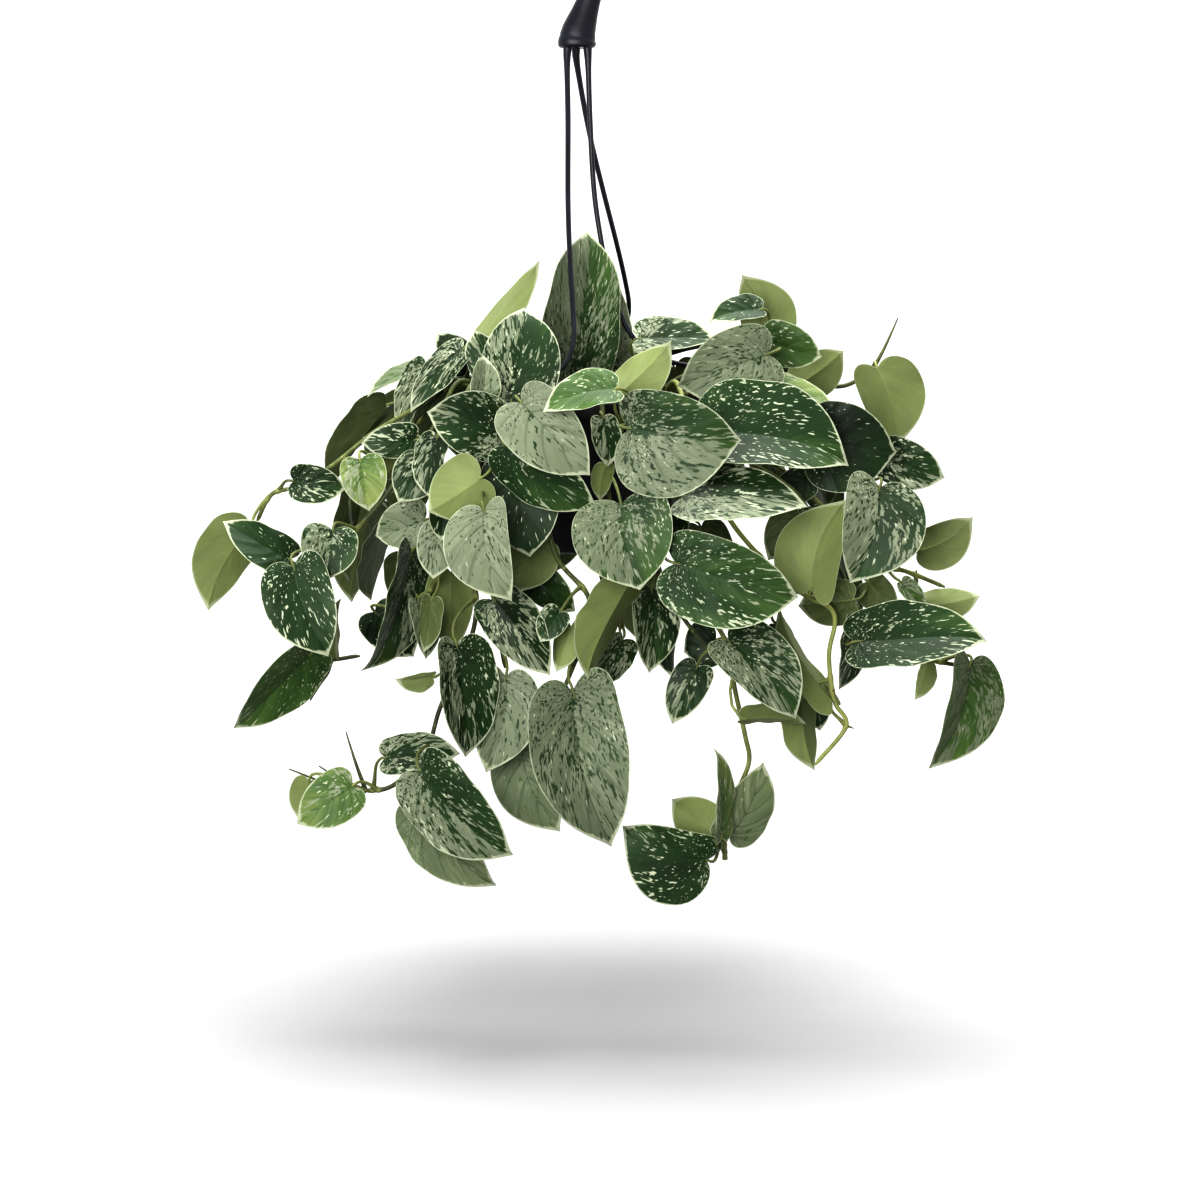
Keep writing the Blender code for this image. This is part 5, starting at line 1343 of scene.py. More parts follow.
def sweep(body: bmesh.types.BMesh, line: Sequence[Vector], radii: Sequence[float], sides: int,
          layers: Layers, note: Callable[[int], Sequence[Vector]], lobes: float = 0.0) -> None:
    """Add a tube along a line.

    Args:
        body: The body that it joins.
        line: Its middle line.
        radii: Its radius at each point.
        sides: How many sides it has.
        layers: The body's attributes.
        note: What the attributes say at a step.
        lobes: How deep its three lengthwise grooves are, as a share of its radius.
    """
    mould = tube_mould(len(line) - 1, sides)
    frames = ring_frames(line)
    places, notes = [], []
    for step, x, y in mould.marks:
        side, other = frames[step]
        reach = radii[step] * (1.0 + lobes * math.cos(3.0 * math.atan2(y, x)))
        places.append(line[step] + side * (x * reach) + other * (y * reach))
        notes.append(note(step))
    mould.stamp(body, places, layers, notes)


def finished(name: str, mesh: bpy.types.Mesh, materials: Sequence[bpy.types.Material],
             node: str) -> bpy.types.Object:
    """Make a piece that stands for a node of the frame.

    Args:
        name: The piece's name.
        mesh: Its mesh, to which the materials are given.
        materials: Its materials.
        node: The node that it replaces.

    Returns:
        The piece.
    """
    for material in materials:
        mesh.materials.append(material)
    piece = bpy.data.objects.new(name, mesh)
    bpy.context.scene.collection.objects.link(piece)
    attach(piece, BODY)
    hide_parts(node)
    mesh.calc_loop_triangles()
    LOG.info("%s: %d triangles", name, len(mesh.loop_triangles))
    return piece


@dataclass
class FineLeaf:
    """The fine blade and petiole of one leaf.

    Args:
        leaf: The leaf as it lies.
        start: The point of the stem that carries it.
        number: A number of its own, which moves its markings.
        habit: How lopsided it grew, as in HABITS, or none for a small difference of its own.
        groove: How deep the midrib is sunk.
        groove_width: How wide that groove is.
        quilt: How high the face rises between the side veins.
        quilts: How many such swells a half blade has.
        thick: The blade's thickness at the midrib.
        thin: The blade's thickness at the rim.
        stalk: The petiole's radius at the stem.
        stalk_taper: How much of it is gone at the blade.
        sheath: How far the petiole's foot stands out round it.
        stalk_steps: The steps along the petiole.
        stalk_sides: How many sides it has.
    """

    leaf: Leaf
    start: Vector
    number: int
    habit: tuple[float, float, float] | None = None
    groove: float = 0.45 * MM
    groove_width: float = 1.3 * MM
    quilt: float = 0.05 * MM
    quilts: float = 8.0
    thick: float = 0.60 * MM
    thin: float = 0.30 * MM
    stalk: float = 1.12 * MM
    stalk_taper: float = 0.30 * MM
    sheath: float = 0.55 * MM
    stalk_steps: int = 9
    stalk_sides: int = 8

    def __post_init__(self) -> None:
        """Draw the blade's finer differences."""
        draw = random.Random(31 * self.leaf.seed + 7)
        self.curl = draw.uniform(-0.01, 0.07)
        self.fold = draw.uniform(-0.16, 0.20)
        self.waves = draw.uniform(2.0, 3.6)
        self.wave_phase = (draw.uniform(0.0, 6.28), draw.uniform(0.0, 6.28))
        self.wave_height = draw.uniform(0.006, 0.016) * self.leaf.length
        self.tone = draw.uniform(-0.08, 0.08)
        self.stretch = draw.uniform(0.9, 1.12)
        self.roll = draw.uniform(0.02, 0.14)
        small = (draw.uniform(-0.035, 0.035), draw.uniform(-0.08, 0.08), draw.uniform(-0.05, 0.15))
        self.bend, self.skew, self.high = self.habit or small
        pattern = PATTERNS[self.leaf.look]
        hand = 1.0 if self.leaf.across.x < 0 else -1.0
        tone = min(1.0, max(0.0, pattern.tone + self.tone))
        self.look = Vector((pattern.silver, pattern.spots, tone))
        self.cast = Vector((pattern.split * hand, pattern.specks, pattern.cream))
        self.tip_silver = pattern.tip

    def height(self, t: float, s: float, station: float) -> float:
        """Shape the fine middle surface.

        Args:
            t: The share of the blade's length.
            s: The share of its half width.
            station: The share of the way round the half outline.

        Returns:
            How far the surface stands above the flat.
        """
        leaf = self.leaf
        half = leaf.half(s)
        reach = abs(s)
        groove = -self.groove * math.exp(-(reach * half / self.groove_width) ** 2) * (1.0 - 0.6 * t)
        phase = self.wave_phase[0 if s >= 0 else 1]
        wave = self.wave_height * reach ** 3 * math.sin(2.0 * math.pi * self.waves * t + phase)
        wave *= min(1.0, 4.0 * max(0.0, 1.0 - t))
        swell = math.cos(2.0 * math.pi * self.quilts * station) * 4.0 * reach * max(0.0, 1.0 - reach)
        fold = self.fold * half * (reach - 0.5) * min(1.0, 3.0 * t + 0.3)
        curl = self.curl * leaf.length * max(0.0, (t - 0.80) / 0.20) ** 2
        roll = self.roll * half * s ** 4
        return leaf.height(t, s) + groove + wave + self.quilt * swell + fold - curl - roll

    def place(self, mark: tuple[float, ...], step: float = 0.004) -> Vector:
        """Lead a corner of the mould to its place.

        Args:
            mark: The corner's mark.
            step: The share over which the surface's slope is taken.

        Returns:
            The place.
        """
        leaf = self.leaf
        t, s, face, station, side = mark
        height = self.height(t, s, station)
        slope_t = (self.height(t + step, s, station) - height) / (step * leaf.length)
        slope_s = (self.height(t, s + step, station) - height) / (step * leaf.half(s))
        normal = (leaf.normal - leaf.axis * slope_t - leaf.across * slope_s).normalized()
        thick = self.thin + (self.thick - self.thin) * (1.0 - abs(side)) ** 0.6
        wide = leaf.half(s) * s * (1.0 + self.skew * math.copysign(1.0, s))
        swing = self.bend * leaf.length * 4.0 * t * (1.0 - t)
        along = t + self.high * max(0.0, t) * (1.0 - t)
        point = leaf.foot + leaf.push * leaf.shift + leaf.axis * (leaf.length * along)
        point += leaf.across * (wide + swing) + leaf.normal * height
        return point + normal * (0.5 * thick * face)

    def note(self, mark: tuple[float, ...]) -> tuple[Vector, ...]:
        """Describe a corner of the blade to the materials.

        Args:
            mark: The corner's mark in the mould.

        Returns:
            Its place among the veins, its station, side and way in from the rim, its look and its cast.
        """
        _, s, _, station, side = mark
        leaf = self.leaf
        wide = edge_at(station)[1] * leaf.half(s)
        rim = wide * (1.0 - abs(side))
        vein = Vector((station * leaf.length * self.stretch, side * wide, 0.731 * self.number))
        look = self.look.copy()
        look.x = min(1.0, look.x + self.tip_silver * max(0.0, station - 0.55))
        return vein, Vector((station, side, rim)), look, self.cast

    def add(self, body: bmesh.types.BMesh, layers: Layers, mould: Mould) -> None:
        """Add the blade and its petiole to a body.

        Args:
            body: The body.
            layers: The body's attributes.
            mould: The fine blade's mould.
        """
        mould.stamp(body, (self.place(mark) for mark in mould.marks), layers,
                    (self.note(mark) for mark in mould.marks))
        first = len(body.faces)
        leaf = self.leaf
        line = leaf.petiole(self.start, self.stalk_steps)[::-1]
        line[-1] = leaf.surface(0.0, 0.0) - leaf.normal * (0.5 * MM)
        line.append(leaf.surface(0.05, 0.0) - leaf.normal * (0.7 * MM))
        radii = []
        for k in range(len(line)):
            share = k / (len(line) - 1)
            radii.append(self.stalk - self.stalk_taper * share + self.sheath * max(0.0, 1.0 - 3.2 * share))
        radii[-1] = 0.45 * MM
        tone = Vector((0.0, 0.0, 0.35 + 0.6 * self.look.z))
        sweep(body, line, radii, self.stalk_sides, layers,
              lambda k: (BLANK, Vector((k / len(radii), 0.15, 0.0)), tone, BLANK))
        cover_faces(body, first, Cover.STEM)


@dataclass
class LeafyStem:
    """The fine form of one leafy stem, which stands for its node.

    Args:
        vine: The stem and its leaves as they lie.
        number: A number of its own.
        fineness: The points of the fine line for each step of the plain one, a multiple of 4.
        radius: The stem's radius at its foot.
        swell: How much wider it is at a node, as a share.
        sides: How many sides it has.
    """

    vine: Vine
    number: int
    fineness: int = 8
    radius: float = 1.72 * MM
    swell: float = 0.30
    sides: int = 10

    def node_weight(self, step: int) -> float:
        """Return how near a step of the fine line is to a node, from 0 to 1."""
        nearest = min((abs(step - self.fine_joint(leaf)) for leaf in self.vine.leaves), default=99)
        return math.exp(-(nearest / 0.8) ** 2)

    def fine_joint(self, leaf: Leaf) -> int:
        """Return the step of the fine line from which a leaf's petiole grows."""
        return leaf.joint * self.fineness // 4

    def build(self, mould: Mould, materials: Sequence[bpy.types.Material]) -> bpy.types.Object:
        """Make the piece.

        Args:
            mould: The fine blade's mould.
            materials: The blade's top, underside and rim, the stem's skin and the roots.

        Returns:
            The piece.
        """
        body = bmesh.new()
        layers = Layers(body)
        line = self.vine.line(self.fineness)
        draw = random.Random(900 + self.number)
        tone = Vector((0.0, 0.0, PALE_STEMS.get(self.vine.name, draw.uniform(0.10, 0.45))))
        rings = [self.node_weight(k) for k in range(len(line))]
        shares = [1.0 - STEM_TAPER * k / len(line) + self.swell * ring for k, ring in enumerate(rings)]
        radii = [self.radius * share for share in shares]
        radii[-1] *= 0.5

        def note(step: int) -> tuple[Vector, ...]:
            """Return what the attributes say at a step of the stem."""
            return BLANK, Vector((step / len(line), rings[step], 0.0)), tone, BLANK

        sweep(body, line, radii, self.sides, layers, note)
        for start, end in self.vine.shoots:
            root = min(line, key=lambda p: (p - start).length)
            sag = Vector((0.0, 0.0, -0.04 * (end - root).length))
            way = smooth_line([root, root.lerp(end, 0.5) + sag, end], [5, 5])
            slim = [(1.45 - 1.05 * k / 10) * MM for k in range(11)]
            sweep(body, way, slim, 8, layers, lambda k: (BLANK, Vector((k / 10, 0.1, 0.0)), tone, BLANK))
        cover_faces(body, 0, Cover.STEM)
        self.add_roots(body, layers, line, draw)
        for k, leaf in enumerate(self.vine.leaves):
            start = line[self.fine_joint(leaf)]
            habit = HABITS.get((self.vine.name, k))
            FineLeaf(leaf, start, 40 * self.number + k, habit).add(body, layers, mould)
        name = "foliage_" + self.vine.name
        return finished(name, mesh_of(name, body), materials, "vine_" + self.vine.name)

    def add_roots(self, body: bmesh.types.BMesh, layers: Layers, line: Sequence[Vector],
                  draw: random.Random) -> None:
        """Add the short aerial roots that stand out at the nodes.

        Args:
            body: The body of the leafy stem.
            layers: The body's attributes.
            line: The stem's fine line.
            draw: The stem's own random draws.
        """
        frames = ring_frames(line)
        first = len(body.faces)
        for leaf in self.vine.leaves:
            step = self.fine_joint(leaf)
            away = (line[step] - leaf.foot).normalized()
            side, other = frames[step]
            away = (side * away.dot(side) + other * away.dot(other)).normalized()
            for _ in range(draw.choice((0, 1, 1, 2))):
                aim = (away + side * draw.uniform(-0.5, 0.5) + other * draw.uniform(-0.5, 0.5)).normalized()
                reach = draw.uniform(2.6, 5.5) * MM
                droop = Vector((0.0, 0.0, -draw.uniform(0.0, 0.4) * reach))
                way = [line[step], line[step] + aim * (0.6 * reach), line[step] + aim * reach + droop]
                sweep(body, way, [0.8 * MM, 0.6 * MM, 0.25 * MM], 6, layers, lambda k: (BLANK,) * 4)
        cover_faces(body, first, Cover.ROOT)


def joined(item: bpy.types.Object, others: Sequence[bpy.types.Object], operation: str) -> None:
    """Apply one Boolean of an object with others, which are then removed.

    Args:
        item: The object that stays.
        others: The objects that are joined to it or cut out of it.
        operation: The Boolean's operation.
    """
    for other in others:
        modifier = item.modifiers.new("join", "BOOLEAN")
        modifier.operation = operation
        modifier.solver = "EXACT"
        modifier.object = other
    bpy.context.view_layer.update()
    mesh = bpy.data.meshes.new_from_object(item.evaluated_get(bpy.context.evaluated_depsgraph_get()))
    item.modifiers.clear()
    item.data = mesh
    for other in others:
        bpy.data.objects.remove(other, do_unlink=True)


def loose(name: str, body: bmesh.types.BMesh) -> bpy.types.Object:
    """Return a helper object of a body, which is freed."""
    item = bpy.data.objects.new(name, mesh_of(name, body))
    bpy.context.scene.collection.objects.link(item)
    return item


def turned(profile: Sequence[tuple[float, float]], steps: int) -> bmesh.types.BMesh:
    """Spin a profile of radii and heights about the Z axis.

    Args:
        profile: The points of the profile, which starts on the axis, and ends there for a closed body.
        steps: The steps of a full turn.

    Returns:
        The body, with its faces outwards where the profile closes it.
    """
    body = bmesh.new()
    corners = [body.verts.new((radius, 0.0, z)) for radius, z in profile]
    edges = [body.edges.new(pair) for pair in zip(corners, corners[1:])]
    bmesh.ops.spin(body, geom=[*corners, *edges], angle=2.0 * math.pi, steps=steps, axis=(0.0, 0.0, 1.0),
                   cent=(0.0, 0.0, 0.0), use_merge=True)
    bmesh.ops.remove_doubles(body, verts=body.verts, dist=1e-6)
    bmesh.ops.recalc_face_normals(body, faces=body.faces)
    return body


def rounded(points: Sequence[tuple[float, float, float]], steps: int = 4) -> list[tuple[float, float]]:
    """Round the corners of a profile.

    Args:
        points: Radius, height and corner radius of each point.
        steps: The steps round each corner.

    Returns:
        The points of the rounded profile.
    """
    outline = []
    for i, (x, z, size) in enumerate(points):
        if size == 0.0 or i in (0, len(points) - 1):
            outline.append((x, z))
            continue
        here = Vector((x, z))
        before = Vector(points[i - 1][:2]) - here
        after = Vector(points[i + 1][:2]) - here
        reach = min(size, 0.49 * before.length, 0.49 * after.length)
        start, end = here + before.normalized() * reach, here + after.normalized() * reach
        for k in range(steps + 1):
            t = k / steps
            point = start * (1 - t) ** 2 + here * (2 * t * (1 - t)) + end * t ** 2
            outline.append((point.x, point.y))
    return outline


def eye_place(angle: float) -> Vector:
    """Return the middle of the hole of the rim's eye at an angle."""
    return around(EYE_REACH, angle, RIM_Z - EYE_DROP)


@dataclass
class Pot:
    """The moulded pot: a tapered wall with a flanged rim, a base with drain holes, and three eyes.

    Args:
        height: Its height.
        top_radius: The radius of its wall under the rim.
        base_radius: The radius of its wall at the base.
        wall: How thick its wall is.
        lip: How far the rim's lip turns down.
        eye_width: How wide each eye is.
        eye_hole: The radius of an eye's hole.
        drain_count: How many drain holes it has.
        drain_radius: The radius of a drain hole.
        drain_ring: How far out the drain holes are.
        steps: The steps of a full turn.
    """

    height: float = 92.0 * MM
    top_radius: float = 84.0 * MM
    base_radius: float = 57.0 * MM
    wall: float = 1.8 * MM
    lip: float = 9.0 * MM
    eye_width: float = 13.0 * MM
    eye_hole: float = 2.3 * MM
    drain_count: int = 4
    drain_radius: float = 4.0 * MM
    drain_ring: float = 36.0 * MM
    steps: int = 112

    def profile(self) -> list[tuple[float, float]]:
        """Return the wall's profile, from the middle of the base out, up, over the rim and down inside."""
        floor = RIM_Z - self.height
        foot, top = self.base_radius, self.top_radius
        lip, inner = RIM_Z - self.lip, RIM_RADIUS - 1.6 * MM
        points = [(0.0, floor + 0.8 * MM, 0.0), (foot - 9 * MM, floor + 0.8 * MM, 0.4 * MM),
                  (foot - 8 * MM, floor, 0.4 * MM), (foot, floor, 2.4 * MM), (top - 1.2 * MM, lip, 0.0),
                  (top, RIM_Z - 4.2 * MM, 0.6 * MM), (inner, RIM_Z - 3.4 * MM, 0.5 * MM),
                  (inner, lip, 0.4 * MM), (RIM_RADIUS, lip, 0.5 * MM), (RIM_RADIUS, RIM_Z, 1.4 * MM),
                  (top - self.wall, RIM_Z - 0.4 * MM, 1.4 * MM),
                  (foot - self.wall, floor + 2 * MM, 3.0 * MM), (0.0, floor + 2 * MM, 0.0)]
        return rounded(points)

    def eye(self, angle: float) -> bmesh.types.BMesh:
        """Return the flat rounded eye that stands out from the rim at an angle."""
        body = bmesh.new()
        half = 0.5 * self.eye_width
        inner = RIM_RADIUS - 1.4 * MM
        middle = EYE_REACH - 1.5 * MM
        turns = [math.pi * (k / 12 - 0.5) for k in range(1, 12)]
        outline = [(inner, -half), (middle, -half)]
        outline += [(middle + half * math.cos(turn), half * math.sin(turn)) for turn in turns]
        outline += [(middle, half), (inner, half)]
        face = body.faces.new([body.verts.new((x, y, -0.5 * EYE_THICK)) for x, y in outline])
        raised = bmesh.ops.extrude_face_region(body, geom=[face])["geom"]
        top = [item for item in raised if isinstance(item, bmesh.types.BMVert)]
        bmesh.ops.translate(body, verts=top, vec=(0.0, 0.0, EYE_THICK))
        bmesh.ops.recalc_face_normals(body, faces=body.faces)
        turn = Matrix.Rotation(math.radians(angle), 4, "Z")
        raise_to_rim = Matrix.Translation((0.0, 0.0, RIM_Z - EYE_DROP))
        bmesh.ops.transform(body, matrix=turn @ raise_to_rim, verts=body.verts)
        return body

    def cutter(self, place: Vector, radius: float) -> bpy.types.Object:
        """Return the round cutter of a hole through the base or an eye."""
        body = bmesh.new()
        bmesh.ops.create_cone(body, cap_ends=True, segments=24, radius1=radius, radius2=radius,
                              depth=12 * MM, matrix=Matrix.Translation(place))
        return loose("cut", body)

    def build(self) -> bpy.types.Object:
        """Make the pot and return its piece."""
        pot = loose("pot_shell", turned(self.profile(), self.steps))
        joined(pot, [loose("eye", self.eye(angle)) for angle in EYE_ANGLES], "UNION")
        cutters = [self.cutter(eye_place(angle), self.eye_hole) for angle in EYE_ANGLES]
        for k in range(self.drain_count):
            place = around(self.drain_ring, 45 + 360 * k / self.drain_count, RIM_Z - self.height)
            cutters.append(self.cutter(place, self.drain_radius))
        joined(pot, cutters, "DIFFERENCE")
        mesh = pot.data
        bpy.data.objects.remove(pot, do_unlink=True)
        mesh.shade_smooth()
        mesh.set_sharp_from_angle(angle=math.radians(32.0))
        finish = PlasticFinish("pot_plastic", srgb(20, 21, 23), srgb(34, 35, 38), srgb(96, 92, 86), 0.46,
                               0.5 * MM)
        mesh.materials.clear()
        return finished("moulded_pot", mesh, [finish.make()], "pot")


@dataclass
class Hanger:
    """The moulded hanger: a hook with a flared base, three strands and the barb under each eye.

    Args:
        crook_radius: The radius inside the crook.
        crook_half: Half the thickness of the crook.
        crook_steps: The steps round the crook.
        strand_sides: How many sides a strand has.
        barb_radius: The radius of a barb.
    """

    crook_radius: float = 12.0 * MM
    crook_half: float = 4.6 * MM
    crook_steps: int = 36
    strand_sides: int = 12
    barb_radius: float = 3.6 * MM

    def hook_line(self) -> tuple[list[Vector], list[float]]:
        """Return the hook's middle line and its radii, from the base up and round the crook."""
        stations = ((577, 48, 16.0), (577, 47, 17.6), (577, 45.5, 18.4), (577, 42, 18.5), (577.2, 40, 18.0),
                    (577.5, 38.5, 17.4), (577.8, 36, 17.4), (579, 30, 16.4), (581, 24, 15.3), (585, 12, 13.0),
                    (589, 0, 11.4), (593, -11, 10.3), (597, -22, 9.4), (602, -33, 8.8), (606, -43, 8.4),
                    (610, -54, 8.1), (613, -64, 7.8))
        line = [at(u, v, 0) for u, v, _ in stations]
        radii = [r * UNIT for _, _, r in stations]
        for k in range(self.crook_steps + 1):
            turn = math.radians(-8.0 + 215.0 * k / self.crook_steps)
            point = Vector((math.cos(turn), 0.0, math.sin(turn))) * (self.crook_radius + self.crook_half)
            point.z -= self.crook_radius
            line.append(point)
            radii.append(self.crook_half * (1.0 - 0.2 * k / self.crook_steps))
        radii[-1] *= 0.55
        radii[-2] *= 0.85
        return line, radii

    def strand_lines(self) -> list[tuple[list[Vector], list[float], Vector]]:
        """Return the middle line and the radii of each strand, and the eye that it passes through."""
        front = ((569, 38, -4), (567, 56, -5), (568, 120, -18), (568, 200, -38), (570, 260, -54),
                 (573, 305, -67), (574, 335, -77), (571, 352, -83), (562, 368, -87))
        right = ((587, 38, -2), (588, 56, -2), (590, 120, -3), (594, 190, -6), (601, 240, -7), (609, 280, -8),
                 (617, 305, -8), (628, 330, -8), (645, 349, -7), (672, 362, -5), (704, 368, -3))
        back = ((577, 38, 4), (576, 56, 6), (583, 100, 14), (592, 145, 22), (603, 190, 31), (617, 245, 42),
                (625, 280, 52), (629, 305, 60), (626, 325, 68), (615, 345, 78), (598, 362, 88))
        lines = []
        for rows, angle in zip((front, right, back), EYE_ANGLES):
            eye = eye_place(angle)
            points = [at(*row) for row in rows]
            points += [eye + Vector((0, 0, 14 * MM)), eye - Vector((0, 0, 0.5 * EYE_THICK + 3 * MM))]
            line = smooth_line(points, span_counts(points, 5 * MM))
            radii, gone = [], 0.0
            for k, point in enumerate(line):
                gone += (point - line[k - 1]).length if k else 0.0
                root = math.exp(-(gone / (13.0 * MM)) ** 2)
                radii.append((1.72 - 0.32 * k / (len(line) - 1) + 1.25 * root) * MM)
            lines.append((line, radii, eye))
        return lines

    def build(self) -> bpy.types.Object:
        """Make the hanger and return its piece."""
        body = bmesh.new()
        layers = Layers(body, ())
        line, radii = self.hook_line()
        sweep(body, line, radii, 40, layers, lambda k: (), lobes=0.05)
        for line, radii, eye in self.strand_lines():
            sweep(body, line, radii, self.strand_sides, layers, lambda k: ())
            top = eye - Vector((0, 0, 0.5 * EYE_THICK + GAP))
            heights = (0.0, 0.3, 1.5, 1.9, 5.0, 5.8, 6.0)
            wide = (0.92, 1.0, 1.0, 0.94, 0.58, 0.42, 0.2)
            barb = [top - Vector((0, 0, h * MM)) for h in heights]
            sweep(body, barb, [w * self.barb_radius for w in wide], 20, layers, lambda k: ())
        finish = PlasticFinish("hanger_plastic", srgb(19, 20, 28), srgb(31, 32, 43), srgb(84, 84, 90), 0.33,
                               0.35 * MM)
        mesh = mesh_of("moulded_hanger", body)
        return finished("moulded_hanger", mesh, [finish.make()], "hanger")


@dataclass
class Soil:
    """The potting soil, with the crumbs, bark and perlite that lie on it.

    Args:
        vines: The stems that stand in it.
        lump: How high its lumps are.
        crumbs: How many loose crumbs lie on it.
        rings: The steps from its rim to its middle.
        steps: The steps of a full turn.
    """

    vines: Sequence[Vine]
    lump: float = 1.6 * MM
    crumbs: int = 420
    rings: int = 40
    steps: int = 96

    def height(self, x: float, y: float) -> float:
        """Return the soil's lumpy surface height."""
        wave = math.sin(160 * x + 1.3) * math.cos(140 * y) + 0.6 * math.sin(310 * x - 250 * y)
        fine = noise.fractal(Vector((260.0 * x, 260.0 * y, 0.0)), 0.8, 2.1, 4)
        return RIM_Z - SOIL_DROP + self.lump * 0.6 * wave + 0.9 * MM * fine

    def radius(self, z: float) -> float:
        """Return the soil's radius at a height, three gaps inside the pot's wall."""
        pot = Pot()
        low, high = RIM_Z - pot.height + 2 * MM, RIM_Z - 0.6 * MM
        share = (z - low) / (high - low)
        wall = (pot.base_radius - pot.wall) * (1 - share) + (pot.top_radius - pot.wall) * share
        return wall - 3 * GAP

    def ground(self) -> bmesh.types.BMesh:
        """Return the body of soil, its top raised by its lumps."""
        floor = RIM_Z - Pot().height + 2 * MM + GAP
        edge = self.radius(RIM_Z - SOIL_DROP) - 1.2 * MM
        profile = [(0.0, floor), (self.radius(floor) - 3 * MM, floor)]
        profile.append((self.radius(floor + 4 * MM), floor + 4 * MM))
        profile += [(edge * (1.0 - k / self.rings), RIM_Z - SOIL_DROP) for k in range(self.rings + 1)]
        body = turned(profile, self.steps)
        for corner in body.verts:
            reach = Vector(corner.co[:2]).length
            if corner.co.z > floor + 8 * MM and reach < edge - MM:
                corner.co.z = self.height(corner.co.x, corner.co.y)
        return body

    def scatter(self, body: bmesh.types.BMesh) -> None:
        """Add crumbs, bark and perlite, with a few close round each stem's foot."""
        draw = random.Random(77)
        edge = self.radius(RIM_Z - SOIL_DROP) - 3 * MM
        spots = [(edge * math.sqrt(draw.random()), draw.uniform(0, 360)) for _ in range(self.crumbs)]
        places = [around(reach, turn, 0.0) for reach, turn in spots]
        for vine in self.vines:
            for _ in range(4):
                places.append(vine.hole + around(draw.uniform(2.2, 4.0) * MM, draw.uniform(0, 360), 0.0))
        for place in places:
            kind = draw.choices((1, 2, 3), (0.70, 0.22, 0.08))[0]
            size = draw.uniform(0.8, 1.9) * MM * (1.0, 1.5, 0.9)[kind - 1]
            width = draw.uniform(0.6, 1.0)
            stretch = (1.0, width, draw.uniform(0.5, 0.8) if kind != 2 else draw.uniform(0.2, 0.4))
            place.z = self.height(place.x, place.y) + 0.3 * size
            matrix = (Matrix.Translation(place) @ Matrix.Rotation(draw.uniform(0, 6.28), 4, "Z")
                      @ Matrix.Rotation(draw.uniform(-0.5, 0.5), 4, "X") @ Matrix.Diagonal((*stretch, 1.0)))
            made = bmesh.ops.create_icosphere(body, subdivisions=1, radius=size, matrix=matrix)["verts"]
            for corner in made:
                corner.co += Vector([draw.uniform(-0.16, 0.16) * size for _ in range(3)])
                for face in corner.link_faces:
                    face.material_index = kind

    def build(self) -> bpy.types.Object:
        """Make the soil and return its piece."""
        body = self.ground()
        smooth(body)
        self.scatter(body)
        mesh = mesh_of("potting_soil", body)
        return finished("potting_soil", mesh, SoilFinish().all(), "soil")


@dataclass
class Plant:
    """Every leafy stem of the plant.

    Args:
        vines: The stems, once they are laid out.
    """

    vines: list[Vine] = field(default_factory=list)

    def grow(self) -> None:
        """Lay out the stems and leaves, each where it lies clear of the others."""
        self.vines = seen_vines() + hidden_vines()
        for vine in self.vines:
            joints, bends, moves = SETTLED[vine.name]
            for k, bend in bends.items():
                vine.shifts[k] = bend * MM
            for k, (leaf, joint) in enumerate(zip(vine.leaves, joints)):
                leaf.joint = joint
                leaf.shift = moves.get(k, 0.0) * MM
                leaf.sag = SAGS.get((vine.name, k), 0.0) * MM
        LOG.info("%d leafy stems, %d leaves", len(self.vines), sum(len(vine.leaves) for vine in self.vines))

    def build(self) -> list[bpy.types.Object]:
        """Make the fine form of each stem and return the pieces."""
        blades, stems = BladeFinish(), StemFinish()
        materials = [blades.top(), blades.under(), blades.rim(), stems.stem(), stems.roots()]
        mould = blade_mould(30, 16)
        return [LeafyStem(vine, number).build(mould, materials) for number, vine in enumerate(self.vines)]


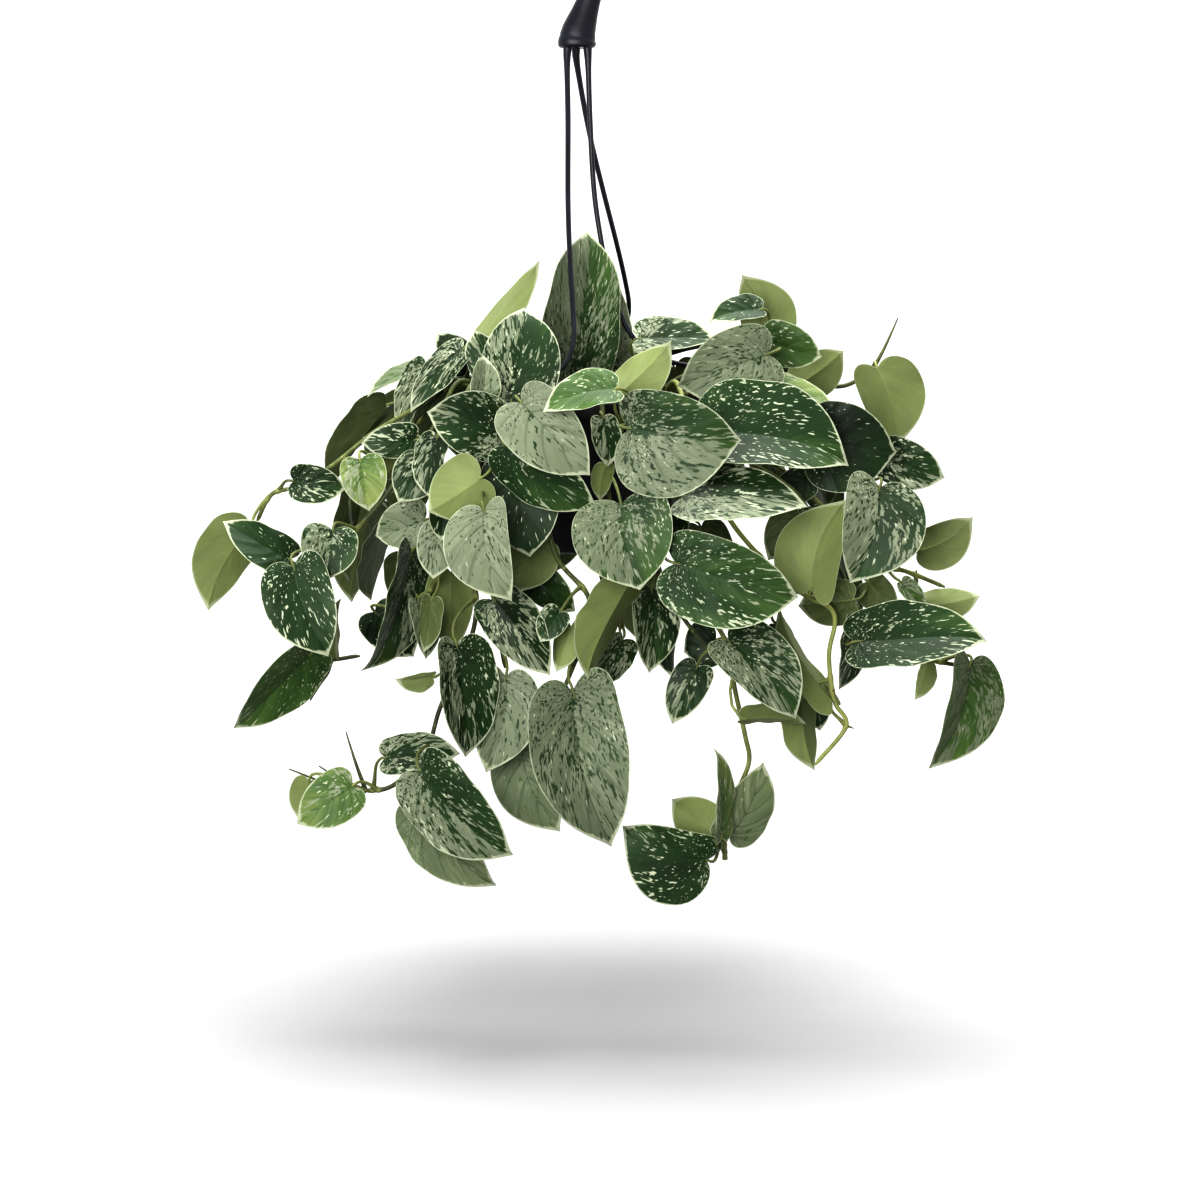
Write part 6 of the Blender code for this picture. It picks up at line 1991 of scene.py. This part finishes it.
@dataclass
class Studio:
    """The pale floor, the soft light and the camera.

    Args:
        floor_z: The floor's height.
        floor_reach: How far its flat part reaches.
        wall_radius: The radius of its upward curve.
        wall_height: How high the wall stands over that curve.
        sky_strength: How strong the room's even light is.
    """

    floor_z: float = -0.700
    floor_reach: float = 2.6
    wall_radius: float = 1.6
    wall_height: float = 2.6
    sky_strength: float = 0.15

    def floor(self) -> None:
        """Make the floor, which curves up into a pale wall all round."""
        outline = [(0.0, self.floor_z)]
        for k in range(25):
            turn = 0.5 * math.pi * k / 24
            outline.append((self.floor_reach + self.wall_radius * math.sin(turn),
                            self.floor_z + self.wall_radius * (1.0 - math.cos(turn))))
        edge, top = outline[-1]
        outline.append((edge, top + self.wall_height))
        body = turned(outline, 96)
        bmesh.ops.reverse_faces(body, faces=body.faces)
        smooth(body)
        floor = loose("floor", body)
        floor.data.materials.append(FloorFinish().make())
        floor.visible_diffuse = False

    def light(self, name: str, place: Vector, aim: Vector, size: float, power: float) -> None:
        """Add one soft square light.

        Args:
            name: Its name.
            place: Where it is.
            aim: What it looks at.
            size: Its width.
            power: Its power in watts.
        """
        lamp = bpy.data.lights.new(name, "AREA")
        lamp.size = size
        lamp.energy = power
        item = bpy.data.objects.new(name, lamp)
        item.location = place
        item.rotation_euler = (aim - place).to_track_quat("-Z", "Y").to_euler()
        bpy.context.scene.collection.objects.link(item)

    def world(self) -> None:
        """Set the even light of the room."""
        world = bpy.data.worlds.new("room")
        world.use_nodes = True
        sky = world.node_tree.nodes["Background"]
        sky.inputs["Color"].default_value = (1.0, 1.0, 1.0, 1.0)
        sky.inputs["Strength"].default_value = self.sky_strength
        bpy.context.scene.world = world

    def camera(self) -> None:
        """Set the camera at the photographed view."""
        lens = bpy.data.cameras.new("camera")
        lens.sensor_width = SENSOR_WIDTH
        lens.lens = SENSOR_WIDTH * VIEW_DISTANCE / (IMAGE_PIXELS * UNIT)
        item = bpy.data.objects.new("camera", lens)
        item.location = view_eye()
        item.rotation_euler = (view_centre() - view_eye()).to_track_quat("-Z", "Y").to_euler()
        bpy.context.scene.collection.objects.link(item)
        bpy.context.scene.camera = item
        bpy.context.scene.view_settings.view_transform = "Standard"
        bpy.context.scene.view_settings.look = "High Contrast"

    def build(self) -> None:
        """Set the whole studio."""
        self.floor()
        self.world()
        middle = Vector((0.0, 0.0, -0.40))
        self.light("overhead", Vector((0.04, 0.16, 0.95)), middle, 1.35, 42.0)
        self.light("key", Vector((-0.45, -1.55, -0.10)), middle, 1.0, 24.5)
        self.camera()


def main() -> None:
    """Build the dressed part and the studio."""
    logging.basicConfig(level=logging.INFO, format="%(name)s: %(message)s")
    Studio().build()
    Hanger().build()
    Pot().build()
    plant = Plant()
    plant.grow()
    Soil(plant.vines).build()
    plant.build()


if __name__ == "__main__":
    main()
